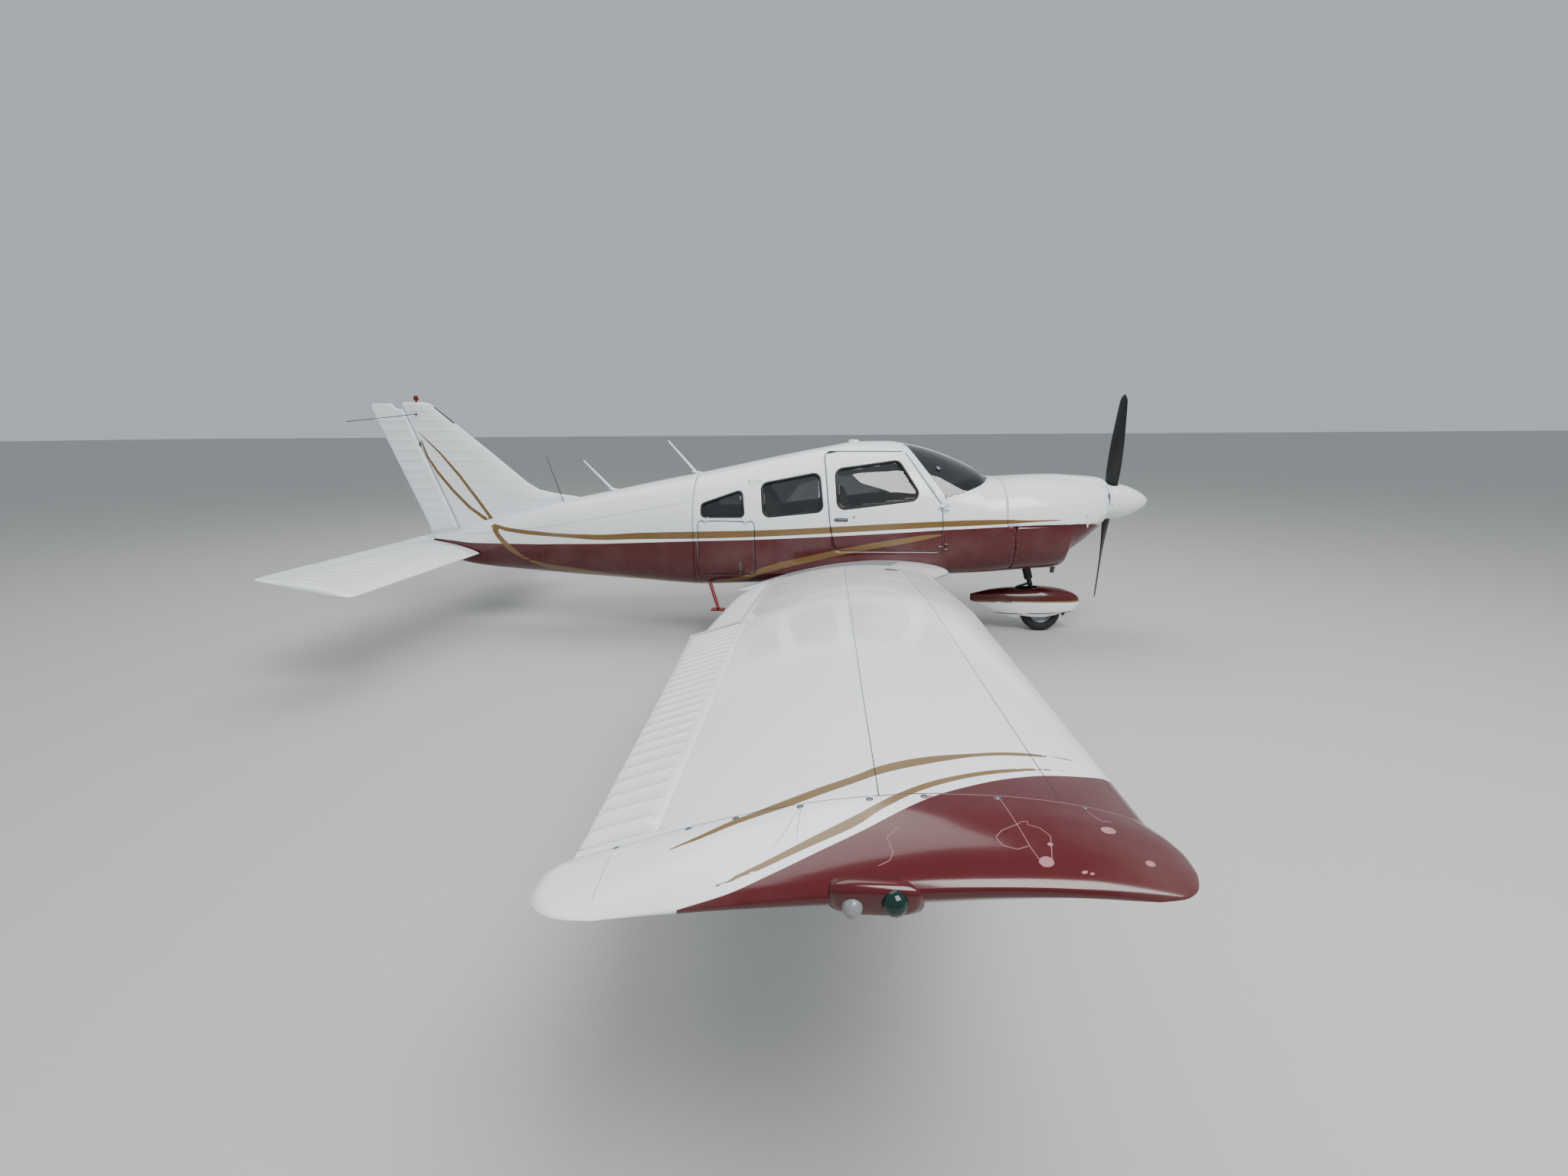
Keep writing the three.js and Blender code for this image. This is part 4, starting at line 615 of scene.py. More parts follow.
def cowl_surface(x, turn):
    """The hull up to the nose, then a flat front: beyond the nose the section shrinks about the shaft
    line. A low hump runs along the middle of the top, a cosine ramp across and along."""
    past = np.clip((x - NOSE_END) / 0.01, 0, 1)
    flat = hull(np.minimum(x, NOSE_END), turn)
    centre = np.stack([flat[..., 0], 0 * flat[..., 0], 0 * flat[..., 0] + SHAFT_Z], -1)
    flat = flat + (centre - flat) * past[..., None]
    over = 1 - np.clip((np.abs(flat[..., 1]) - HUMP_HALF) / HUMP_EDGE, 0, 1)
    rise = np.clip((x - SEAM_TOP - 0.1) / 0.5, 0, 1) * over * (1 - past) * (flat[..., 2] > 1.25)
    flat[..., 2] += HUMP_RISE * (0.5 - 0.5 * np.cos(np.pi * rise))
    return flat


cowl_x = np.concatenate([nose, NOSE_END + np.linspace(0, 0.0085, 14)[1:]])
cowl_top = trimmed(cowl_surface, lambda p: np.minimum.reduce([
    p[..., 0] - SEAM_TOP - BUTT, p[..., 2] - SEAM_Z - BUTT, cowl_open(p)]), cowl_x, turn, True)
cowl_lower = trimmed(cowl_surface, lambda p: np.minimum.reduce([
    p[..., 0] - SEAM_LOW - BUTT, SEAM_Z - BUTT - p[..., 2], cowl_open(p)]), cowl_x, turn, True)
middle = (WING_LE + 1.2, 0, 1.1)
coated("cowl_top_skin", [cowl_top], "airframe", side_scheme, ["cowl_top"], middle, MOULDING)
coated("cowl_lower_skin", [cowl_lower], "airframe", side_scheme, ["cowl_lower"], middle, MOULDING,
       slot="maroon_paint")


# Entry door and baggage hatch: pressed skins flush with the cabin's, each in a narrow gap, hung on outside
# knuckles, with a trim panel on the cabin side and a turned-in edge.
def turned_in(loop, side):
    """Edge turned in round a side-view loop, from the skin to the lining."""
    closed = np.vstack([loop, loop[:1]])
    return grid(np.stack([on_side(closed, side, depth)[0] for depth in (SHEET, LINING)]))


def leaf(shape, name, body, stands_for, window=None):
    """Skin and inner panel of a hinged leaf within its outline, less its window, and the edge between
    them."""
    shut = outline(shape, -LEAF_GAP)
    keep = (lambda p: np.minimum(-shut(p), openings[window](p))) if window else (lambda p: -shut(p))
    corners = from_wing(shape[0])
    xs = np.arange(corners[:, 0].min() - 0.02, corners[:, 0].max() + 0.03, 0.015)
    side = np.linspace(np.pi * 0.62, np.pi * 1.42, 96)
    centre = (corners[:, 0].mean(), 0, 1.05)
    skin = trimmed(hull, keep, xs, side)
    coated(name, [skin], body, side_scheme, stands_for, centre, SHEET)
    panel = trimmed(lambda u, v: hull(u, v, LINING), keep, xs[::2], side[::2])
    strips = [turned_in(loop, -1) for loop in [rim(shape, -LEAF_GAP)] + ([rim(FRONT)] if window else [])]
    build(name + "_panel", [panel], body, headliner, "floor_metal", (), centre, MOULDING)
    return build(name + "_edge", strips, body, enamel_paint, "white_paint", (), centre)


leaf(DOOR, "door_skin", "entry_door", ["cabin_door"], "front")
leaf(HATCH, "hatch_skin", "baggage_hatch", ["baggage_door"])
# black neoprene seals and the turned-in sheet round each opening
neoprene = grained(surface_of("extruded_neoprene", Base_Color="#141416", Roughness=0.55), 0.002, 0.0001)
panes = ((FRONT, 1), (REAR, 1), (REAR, -1), (AFT, 1), (AFT, -1))
jambs = [turned_in(rim(shape), side) for shape, side in ((DOOR, -1), (HATCH, -1)) + panes]
build("cabin_jambs", jambs, "airframe", enamel_paint, "white_paint")


# Glazing: moulded acrylic, tinted grey, set in rubber in the cabin sides and under screwed strips round the
# windscreen, which is in two halves with a slim post between them.
GLASS = 0.004
PANE_IN = 0.012
SCREEN_IN = 0.004
POST_HALF = 0.022
POST_WALL = 0.006
SCREEN_MIDDLE = (WING_LE + 0.1, 0, 1.2)
# grey-tinted cast acrylic, polished
acrylic = surface_of("cast_acrylic", Base_Color="#101416", Roughness=0.03, Alpha=0.5, Coat_Weight=1.0,
                     Coat_Roughness=0.02, Specular_IOR_Level=0.9)


def pane(name, shape, side, body, stands_for):
    """Pane just inside the skin, filling its outline."""
    corners = from_wing(shape[0])
    xs = np.arange(corners[:, 0].min() - 0.02, corners[:, 0].max() + 0.03, 0.02)
    sweep = np.linspace(np.pi * 0.02, np.pi * 0.5, 40)
    sweep = sweep if side > 0 else np.pi - sweep[::-1]
    keep = outline(shape, -0.001)
    cut = trimmed(lambda u, v: hull(u, v, PANE_IN), lambda p: -keep(p), xs, sweep)
    build(name, [cut], body, acrylic, "tinted_acrylic", stands_for, (corners[:, 0].mean(), 0, 1.05), GLASS)


pane("door_pane", FRONT, -1, "entry_door", ["door_window"])
pane("front_pane_left", FRONT, 1, "airframe", ["window_front_left"])
for word, side in (("left", 1), ("right", -1)):
    pane("rear_pane_" + word, REAR, side, "airframe", ["window_rear_" + word])
    pane("aft_pane_" + word, AFT, side, "airframe", ["window_aft_" + word])
    sweep = np.linspace(0.02 * np.pi, 0.5 * np.pi, 50)
    sweep = sweep if side > 0 else np.pi - sweep[::-1]
    half = trimmed(lambda u, v: hull(u, v, SCREEN_IN),
                   lambda p: np.minimum(-openings["screen"](p) - 0.001,
                                        p[..., 1] * side - POST_HALF - 0.001),
                   np.arange(WING_LE - 0.18, WING_LE + 0.62, 0.015), sweep)
    build("screen_" + word, [half], "airframe", acrylic, "tinted_acrylic", ["windshield_" + word],
          SCREEN_MIDDLE, GLASS)
post = trimmed(lambda u, v: hull(u, v, 0.0005),
               lambda p: np.minimum(-openings["screen"](p), POST_HALF - np.abs(p[..., 1])),
               np.arange(WING_LE - 0.18, WING_LE + 0.62, 0.02), np.linspace(0.44 * np.pi, 0.56 * np.pi, 16))
build("screen_post", [post], "airframe", enamel_paint, "white_paint", ["windshield_post"], SCREEN_MIDDLE,
      POST_WALL)
# profile of the rubber round a pane: across, out
GASKET = [(-0.009, 0.001), (-0.006, 0.004), (0.006, 0.004), (0.009, 0.001), (0.009, -0.012),
          (-0.009, -0.012)]
gaskets = [swept(*on_side(rim(shape), side), GASKET, True) for shape, side in panes[1:] + panes[:1]]
build("window_seals", gaskets, "airframe", neoprene, "black_plastic")
build("door_window_seal", [swept(*on_side(rim(FRONT), -1), GASKET, True)], "entry_door", neoprene,
      "black_plastic")


# Cabin furniture seen through the glass: floor and rear bulkhead, two front seats and a bench of foam under
# woven cloth, a moulded instrument panel with round dials, and two control wheels on their shafts.

# grey-brown woven polyester over polyurethane foam
seat_cloth = grained(surface_of("woven_polyester", Base_Color="#6d6559", Roughness=0.9, Sheen_Weight=0.3),
                     0.0015, 0.0003, 0.05, "#575046")
# painted floor sheet under worn loop-pile carpet
loop_carpet = grained(surface_of("loop_pile_carpet", Base_Color="#3a3b3d", Roughness=0.95),
                      0.004, 0.0015, 0.03)
# vacuum-formed panel cover and control wheels
black_moulding = grained(surface_of("vacuum_formed_abs", Base_Color="#17181a", Roughness=0.55),
                         0.002, 0.0002)


def slab(outline_points, y0, y1, bulge=0.0, across=14):
    """Cushion over a side-view outline: rows of the outline at stations across, shrunk towards its middle
    at both ends as a quarter circle and swollen in between."""
    flat = from_wing([(x, 0, z) for x, z in outline_points])[:, [0, 2]]
    loop = np.concatenate([flat, flat[:1]])
    length = run(loop)
    at = np.linspace(0, length[-1], 49)[:-1]
    loop = np.stack([np.interp(at, length, loop[:, k]) for k in (0, 1)], -1)
    loop = sum(np.roll(loop, k, 0) for k in (-2, -1, 0, 1, 2)) / 5
    middle = loop.mean(0)
    v = np.sin(np.linspace(-np.pi / 2, np.pi / 2, across))
    share = 1 - 0.14 * np.abs(v) ** 6
    rows = middle + (loop - middle) * (share * (1 + bulge * (1 - v ** 2)))[:, None, None]
    y = (y0 + y1) / 2 * MM + (y1 - y0) / 2 * MM * v
    points = np.stack([rows[..., 0], np.broadcast_to(y[:, None], rows.shape[:2]), rows[..., 1]], -1)
    return grid(drawn_shut(points), True)


def seat(x, y0, y1, back, deep, rest):
    """Squab, backrest and headrest of one seat, in the seat's own place."""
    return [slab([(x + 10, 815), (x + deep, 835), (x + deep + 10, 930), (x, 900)], y0, y1, 0.02),
            slab([(x - 50 - back, 1330), (x + 50 - back, 1345), (x + 90, 870), (x - 20, 850)], y0, y1,
                 0.02),
            slab([(x - 80 - back, 1475), (x - 10 - back, 1490), (x + 10 - back, 1335),
                  (x - 60 - back, 1325)],
                 rest - 110, rest + 110, 0.02)]


# cushions: metres, inner pressure, metres, frames, share of foam
VOXEL, PRESSURE, SWELL, FRAMES, FILL = 0.02, 4.0, 0.022, 20, 0.6


def baked(made):
    """Gives a piece the mesh that its modifiers make, and drops them."""
    mesh = bpy.data.meshes.new_from_object(made.evaluated_get(bpy.context.evaluated_depsgraph_get()))
    made.modifiers.clear()
    made.data = mesh


def stuffed(made):
    """Swells closed cushions as cloth: remeshed at even steps, then frames under inner pressure without
    gravity, no point moved further than the cap, and one subdivision."""
    even = made.modifiers.new("even", "REMESH")
    even.mode = "VOXEL"
    even.voxel_size = VOXEL
    baked(made)
    count = len(made.data.vertices)
    before = np.empty(count * 3, np.float32)
    made.data.vertices.foreach_get("co", before)
    cloth = made.modifiers.new("cloth", "CLOTH")
    cloth.settings.use_pressure = True
    cloth.settings.uniform_pressure_force = PRESSURE
    cloth.settings.effector_weights.gravity = 0.0
    cloth.point_cache.frame_end = FRAMES
    for step in range(1, FRAMES + 1):
        bpy.context.scene.frame_set(step)
    baked(made)
    after = np.empty(count * 3, np.float32)
    made.data.vertices.foreach_get("co", after)
    move = (after - before).reshape(-1, 3)
    length = np.linalg.norm(move, axis=1, keepdims=True)
    move *= np.minimum(1, SWELL / np.maximum(length, 1e-9))
    made.data.vertices.foreach_set("co", (before.reshape(-1, 3) + move).ravel())
    bpy.context.scene.frame_set(1)
    made.modifiers.new("smooth", "SUBSURF").levels = 1
    baked(made)
    made.data.polygons.foreach_set("use_smooth", np.ones(len(made.data.polygons), bool))


for name, shapes, stands_for in (
        ("seat_left", seat(-640, 50, 460, 110, 470, 255), "front_seat_left"),
        ("seat_right", seat(-640, -460, -50, 110, 470, -255), "front_seat_right"),
        ("rear_bench", seat(-1300, -425, 425, 120, 400, 0), "rear_seat")):
    made = build(name, shapes, "airframe", seat_cloth, "seat_fabric", [stands_for])
    stuffed(made)


# Wing panels: sheet skins flush-riveted over one main spar and ribs, round-nosed section with a cranked root
# glove, cut away at the trailing edge for flap and aileron, each in a curved cove.
# spanwise y, leading edge x, trailing edge x
WING = np.array([(520, 212, -1600), (620, 208, -1600), (700, 160, -1600), (1020, 12, -1600),
                 (1100, 0, -1600), (2700, 0, -1600), (5111, -148, -1351)], float)
ROOT_Z, ROOT_Y, DIHEDRAL, TWIST_Y = 609, 570, 5.2, 700
ROOT_ANGLE, TIP_ANGLE, THICK, FULL_CHORD, THICK_CHORD, PIVOT = 5.2, 5.4, 0.15, 1600, 1610, 0.4
CAMBER = 0.022
# share of the chord, half thickness as a share of its greatest
SECTION = np.array([(0, 0.0), (0.006, 0.16), (0.02, 0.28), (0.05, 0.43), (0.1, 0.6), (0.18, 0.79),
                    (0.28, 0.93), (0.4, 1.0), (0.52, 0.955), (0.64, 0.81), (0.76, 0.58), (0.88, 0.29),
                    (1.0, 0.03)])
ROOTED = np.array([(np.sqrt(t), h) for t, h in SECTION])
# tip, outboard of its seam: distance, share of the thickness, trailing edge forward, leading edge aft
TIP = np.array([(0, 1.0, 0, 0), (24, 0.965, -31, -8), (66, 0.9, -49, -22), (116, 0.77, -45, -30),
                (160, 0.61, -30, -28), (188, 0.48, -10, -20), (209, 0.36, 14, -10), (224, 0.26, 42, 4),
                (234, 0.17, 74, 22), (240, 0.1, 120, 60)], float)
TIP_Y, TIP_LE, TIP_TE = WING[-1]
FLAP = {"y0": 650, "y1": 2660, "x0": -1290, "x1": -1290, "gauge": 1200}
AILERON = {"y0": 2735, "y1": 5075, "x0": -1285, "x1": -1186, "gauge": 2735}
BAY = 8
REST = np.radians(10)


def wing_mid(y):
    """Height in millimetres of the section's chord line at its pivot."""
    return ROOT_Z + (y - ROOT_Y) * np.tan(np.radians(DIHEDRAL))


def wing_angle(y):
    """Angle of the chord line, which twists evenly from root to tip."""
    share = np.clip((y - TWIST_Y) / (TIP_Y - TWIST_Y), 0, 1)
    return np.radians(ROOT_ANGLE + (TIP_ANGLE - ROOT_ANGLE) * share)


def wing(y, t, side):
    """Point of the wing, in millimetres, at span y and share t of the chord on its upper (1) or lower
    (-1) side: chord line turned about 0.4 of the chord, plus or minus the half thickness, plus a
    parabolic camber; the tip sweeps up in its middle and droops at both corners."""
    y, t = np.broadcast_arrays(np.asarray(y, float), np.asarray(t, float))
    out = np.maximum(y - TIP_Y, 0)
    le = np.interp(y, WING[:, 0], WING[:, 1]) - along(TIP, 3, out) - out * 0.1
    te = np.interp(y, WING[:, 0], WING[:, 2]) + along(TIP, 2, out) + out * 0.02
    chord = le - te
    thin = along(TIP, 1, out)
    scale = np.where(out > 0, TIP_LE - TIP_TE, chord)
    share = np.where(out > 0, THICK, THICK * np.minimum(1, THICK_CHORD / chord))
    half = along(ROOTED, 1, np.sqrt(np.clip(t, 0, 1))) * share / 2
    x = le - chord * t
    pivot = le - PIVOT * np.where(out > 0, chord, np.minimum(chord, FULL_CHORD))
    droop = 0.85 * np.maximum(1 - t / 0.35, 0) ** 2 + 0.65 * np.maximum(2 * t - 1, 0) ** 1.5
    rise = (1 - thin) * scale * THICK * 0.22 * (1 - droop)
    lift = (side * half + CAMBER * 4 * t * (1 - t)) * scale * thin
    z = wing_mid(y) + (x - pivot) * np.tan(wing_angle(y)) + lift
    return np.stack([x, y, z + rise], -1)


def chord_share(y, x):
    """Share of the chord at which the wing reaches a station x."""
    le, te = np.interp(y, WING[:, 0], WING[:, 1]), np.interp(y, WING[:, 0], WING[:, 2])
    return (le - x) / (le - te)


def handed(points, side):
    """Millimetre points of the port wing as metres of either wing (1 port, -1 starboard)."""
    return from_wing(points) * [1, side, 1]


def hinge_of(surface):
    """Hinge line of a flap or aileron: its two ends and its nose radius at each, 0.97 of the half
    thickness."""
    ends = []
    for y, x, gauge in ((surface["y0"], surface["x0"], surface["gauge"]),
                        (surface["y1"], surface["x1"], surface["y1"])):
        top, low = (wing(y, chord_share(y, x), side)[2] for side in (1, -1))
        high, deep = (wing(gauge, chord_share(gauge, x), side)[2] for side in (1, -1))
        ends.append((np.array([x, y, (top + low) / 2]), (high - deep) / 2 * 0.97))
    return ends


def hinge_at(surface, y):
    """Hinge point and nose radius at span y."""
    (a, ra), (b, rb) = hinge_of(surface)
    share = (np.asarray(y, float) - a[1]) / (b[1] - a[1])
    return a + (b - a) * share[..., None], ra + (rb - ra) * share


def front_line(y):
    """Station of the skins' aft edge in front of the bays: as far ahead of the hinge as a circle of the
    nose's radius and the gap cuts the skin."""
    edge = []
    for surface in (FLAP, AILERON):
        at, radius = hinge_at(surface, np.array([surface["y0"], surface["y1"]], float))
        share = chord_share(at[:, 1], at[:, 0])
        half = (wing(at[:, 1], share, 1) - wing(at[:, 1], share, -1))[:, 2] / 2
        edge += list(zip(at[:, 1], at[:, 0] + np.sqrt(np.maximum((radius + BAY) ** 2 - half ** 2, 9))))
    edge = np.array(edge)
    return np.interp(y, edge[:, 0], edge[:, 1])


def spans(*stops, step=70):
    """Stations from stop to stop, no further apart than the step."""
    parts = [np.linspace(a, b, max(int(np.ceil((b - a) / step)), 1) + 1)[:-1] for a,
             b in zip(stops, stops[1:])]
    return np.concatenate(parts + [[stops[-1]]])


def root_line(t, side):
    """Span at which the wing's surface meets the fuselage's side, at least that of its own end rib, found
    by repeatedly putting the skin's half width at the surface's place in for the span."""
    y = np.full(np.shape(t), 560.0)
    for _ in range(12):
        p = from_wing(wing(y, t, side))
        y = np.clip(skin_y(p[..., 0], p[..., 2]) / MM - 4, 500, 640)
    return y


def wing_skins(side):
    """Skins of one wing: nose and upper and lower skins back to the bays, the trailing skins between and
    beside the bays, the coves behind the skins and the ribs at the bays' ends."""
    nose = np.linspace(0, 1, 66)
    patches = []
    stops = np.concatenate([spans(700, 1020, 1100, 2668, 2727, 4760),
                            spans(4760, 5083, TIP_Y, step=14)[1:]])
    for up in (1, -1):
        front = chord_share(stops, front_line(stops))
        t = (nose[:, None] * np.sqrt(front)) ** 2
        body = wing(stops[None, :], t, up)
        # from the fuselage's side out to the first full station
        inner_front = chord_share(700.0, front_line(700.0))
        ti = (nose * np.sqrt(inner_front)) ** 2
        y_in = root_line(ti, up)
        share = np.linspace(0, 1, 6)
        y = y_in[:, None] + (700 - y_in)[:, None] * share
        t_in = (nose[:, None] * np.sqrt(chord_share(y, front_line(y)))) ** 2
        root = wing(y, t_in, up)
        patches += [grid(handed(body, side)), grid(handed(root, side))]
        tail = np.linspace(0, 1, 16)[:, None]
        for low, high in ((642, 642), (2668, 2727), (5083, TIP_Y)):
            if low == high:
                front = chord_share(640.0, front_line(640.0))
                f = front + tail[:, 0] * (1 - front)
                y0 = root_line(f, up)
                y = y0[:, None] + (642 - y0)[:, None] * np.linspace(0, 1, 4)
                f = np.broadcast_to(f[:, None], y.shape)
            else:
                y = np.broadcast_to(np.linspace(low, high, 4), (16, 4))
                f = chord_share(y, front_line(y))
                f = f + tail * (1 - f)
            patches.append(grid(handed(wing(y, f, up), side)))
    for surface in (FLAP, AILERON):
        y = spans(surface["y0"] - BAY, surface["y1"] + BAY, step=150)
        at, radius = hinge_at(surface, y)
        x = front_line(y)
        lips = [wing(y, chord_share(y, x), up) for up in (1, -1)]
        turn_to = [np.arctan2(lip[:, 2] - at[:, 2], lip[:, 0] - at[:, 0]) for lip in lips]
        share = np.linspace(0, 1, 10)[:, None]
        turn_of = turn_to[0] + (turn_to[1] - turn_to[0]) * share
        reach = [np.hypot(lip[:, 2] - at[:, 2], lip[:, 0] - at[:, 0]) for lip in lips]
        reach = reach[0] + (reach[1] - reach[0]) * share
        cove = np.stack([at[:, 0] + reach * np.cos(turn_of), np.broadcast_to(y, turn_of.shape),
                         at[:, 2] + reach * np.sin(turn_of)], -1)
        patches.append(grid(handed(cove, side)))
        for end in (y[0], y[-1]):
            if end > 5000:
                continue
            front = chord_share(end, front_line(end))
            f = front + np.linspace(0, 1, 12) * (1 - front)
            rib = np.stack([wing(end, f, 1), wing(end, f, -1)])
            patches.append(grid(handed(rib, side)))
    return patches


# paint lines over the tip and the panel beside it (x, y): both edges of two gold bands, then the red's edge
BAND_ONE = ([(-1130, 5201), (-1069, 5174), (-995, 5133), (-840, 5058), (-733, 5001), (-691, 4970),
             (-566, 4922),
             (-462, 4897), (-380, 4873), (-317, 4861), (-254, 4852), (-161, 4846)],
            [(-1130, 5203), (-1067, 5188), (-989, 5155), (-884, 5117), (-815, 5084), (-734, 5040),
             (-694, 5015),
             (-572, 4964), (-467, 4920), (-386, 4895), (-323, 4881), (-258, 4863), (-161, 4849)])
BAND_TWO = ([(-1029, 5325), (-952, 5294), (-855, 5245), (-739, 5174), (-697, 5140), (-585, 5058),
             (-490, 5009),
             (-405, 4975), (-313, 4946), (-250, 4928), (-161, 4895)],
            [(-1029, 5327), (-951, 5306), (-853, 5265), (-740, 5209), (-699, 5172), (-589, 5088),
             (-496, 5034),
             (-411, 4997), (-317, 4958), (-252, 4934), (-161, 4897)])
RED_EDGE = [(-1071, 5351), (-979, 5335), (-900, 5306), (-812, 5266), (-741, 5229), (-701, 5204),
            (-594, 5129), (-503, 5074), (-419, 5029), (-326, 4987), (-229, 4950), (-150, 4911),
            (-60, 4880)]


def tip_scheme(points):
    """White inboard, dark red outboard of a curve that runs out to the tip's edge aft, and two tapering
    gold bands inboard of it."""
    x, y = (points[:, 0] - WING_LE) / MM, np.abs(points[:, 1]) / MM
    red = np.minimum(y - along(np.array(RED_EDGE, float), 1, x), x + 1071)
    gold = [np.minimum.reduce([y - along(np.array(upper, float), 1, x),
                               along(np.array(lower, float), 1, x) - y,
                               x - upper[0][0], -150 - x]) for upper, lower in (BAND_ONE, BAND_TWO)]
    return red * MM, np.maximum(*gold) * MM


def bare(points):
    """Scheme of a piece that is white all over."""
    return -np.ones(len(points)), -np.ones(len(points))


for word, side in (("left", 1), ("right", -1)):
    skins = wing_skins(side)
    middle = from_wing((-800, 2600 * side, 800))
    coated("wing_skin_" + word, skins, "airframe", tip_scheme, ["wing_" + word], middle)


# Flaps and ailerons: one-piece sheet skins stiffened by pressed beads along the chord, with a round nose
# about the hinge. Flaps are parked ten degrees down.
BEAD_PITCH, BEAD_HALF, BEAD_RISE = 92.0, 10.0, 4.4


def bead_row(y0, y1):
    """Number of steps between the beads that fit a stretch, and the first bead's place."""
    count = int((y1 - y0 - 60) / BEAD_PITCH)
    return count, (y0 + y1 - count * BEAD_PITCH) / 2


def beads(y, y0, y1, along_chord):
    """Rise of the pressed beads: a raised cosine across each bead, tapered off near both ends of it."""
    first = bead_row(y0, y1)[1]
    phase = (y - first + BEAD_PITCH / 2) % BEAD_PITCH - BEAD_PITCH / 2
    among = (y > first - BEAD_PITCH / 2) & (y < y1 - first + y0 + BEAD_PITCH / 2)
    inside = (np.abs(phase) < BEAD_HALF) & among
    cap = np.where(inside, 0.5 + 0.5 * np.cos(np.pi * phase / BEAD_HALF), 0)
    return BEAD_RISE * cap * np.clip(np.minimum(along_chord - 0.06, 0.93 - along_chord) / 0.03, 0, 1)


def bead_stations(y0, y1, gap=1000.0):
    """Spanwise stations, close together over each bead and no further apart than the gap elsewhere."""
    count, first = bead_row(y0, y1)
    centres = first + np.arange(count + 1) * BEAD_PITCH
    offsets = np.array([-1, -0.5, 0, 0.5, 1]) * BEAD_HALF
    stops = np.unique(np.concatenate([[y0, y1], (centres[:, None] + offsets).ravel()]).round(3).clip(y0, y1))
    return spans(*stops, step=gap)


def control_surface(surface, side, rest, name, body, stands_for):
    """Flap or aileron: a nose arc about the hinge, then both skins of the wing to the trailing edge, with
    ends square across, turned to its parked angle."""
    y = bead_stations(surface["y0"], surface["y1"])
    at, radius = hinge_at(surface, y)
    aft = np.linspace(0, 1, 22)[:, None]
    rows = []
    f = chord_share(y, at[:, 0]) + aft * (1 - chord_share(y, at[:, 0]))
    for up in (1, -1):
        skin = wing(np.broadcast_to(y, f.shape), f, up)
        meet = np.clip(1 - aft / 0.12, 0, 1) * (radius - np.abs(skin[0, :, 2] - at[:, 2])) * up
        skin[..., 2] += meet + up * beads(y, surface["y0"], surface["y1"], np.broadcast_to(aft, f.shape))
        rows.append(skin)
    bend = np.linspace(np.pi / 2, -np.pi / 2, 17)[1:-1, None]
    arc = np.stack([at[:, 0] + radius * np.cos(bend), np.broadcast_to(y, (15, len(y))),
                    at[:, 2] + radius * np.sin(bend)], -1)
    loop = np.concatenate([rows[0][::-1], arc, rows[1]]).transpose(1, 0, 2)
    (a, _), (b, _) = hinge_of(surface)
    axis = (b - a) / np.linalg.norm(b - a)
    loop = loop - a
    loop = (loop * np.cos(rest) + np.cross(axis, loop) * np.sin(rest)
            + axis * (loop @ axis)[..., None] * (1 - np.cos(rest))) + a
    patch = grid(handed(drawn_shut(loop), side), True)
    return coated(name, [patch], body, bare, stands_for)


for word, side in (("left", 1), ("right", -1)):
    control_surface(FLAP, side, -REST, "flap_skin_" + word, word + "_flap", ["flap_" + word])
    control_surface(AILERON, side, 0.0, "aileron_skin_" + word, word + "_aileron", ["aileron_" + word])


# Wing tips: fibreglass caps, white aft and dark red ahead, rounded down to a thin edge and screwed to the
# last rib through a butt strip, each with a coloured position light on its edge.
# pressed red and green glass
lens_finish = {"Roughness": 0.05, "Transmission_Weight": 0.7}
lamp_glass = {"left": surface_of("red_lens_glass", Base_Color="#8c1212", **lens_finish),
              "right": surface_of("green_lens_glass", Base_Color="#0d4a40", **lens_finish)}
LAMP_X, LAMP_OUT, LAMP_LENGTH, LAMP_R = -680, 228, 42, 24
TIP_EDGE = (wing(TIP_Y + 224.0, 0.5, 1)[2] + wing(TIP_Y + 224.0, 0.5, -1)[2]) / 2
for word, side in (("left", 1), ("right", -1)):
    out = np.concatenate([np.linspace(0, 200, 20), np.linspace(200, 240, 14)[1:]])
    y = TIP_Y + 1.2 + out * (1 - 1.2 / 240)
    nose = np.linspace(0, 1, 84)[:, None]
    faces = [wing(np.broadcast_to(y, (84, len(y))), nose ** 2 * np.ones(len(y)), up) for up in (1, -1)]
    middle = (faces[0][:, -1:] + faces[1][:, -1:]) / 2 + [0, 0.6, 0]
    shells = [grid(handed(np.concatenate([face, middle], 1), side)) for face in faces]
    closing = grid(handed(np.stack([faces[0][-1], faces[1][-1]]), side))
    coated("tip_cap_" + word, shells + [closing], "airframe", tip_scheme, ["wing_tip_" + word],
           from_wing((-760, 5200 * side, 1060)), slot="maroon_paint")
    base = from_wing((LAMP_X, (TIP_Y + LAMP_OUT) * side, TIP_EDGE + 2))
    profile = [(0, 0), (0, LAMP_R), (LAMP_LENGTH * 0.5, LAMP_R * 0.97), (LAMP_LENGTH * 0.8, LAMP_R * 0.78),
               (LAMP_LENGTH * 0.95, LAMP_R * 0.4), (LAMP_LENGTH, 0)]
    lens = lathe(base, (0, side, 0), np.array(profile) * MM, 32)
    build("position_lens_" + word, [lens], "airframe", lamp_glass[word],
          ("red" if side > 0 else "green") + "_lens",
          ["position_light_" + word])


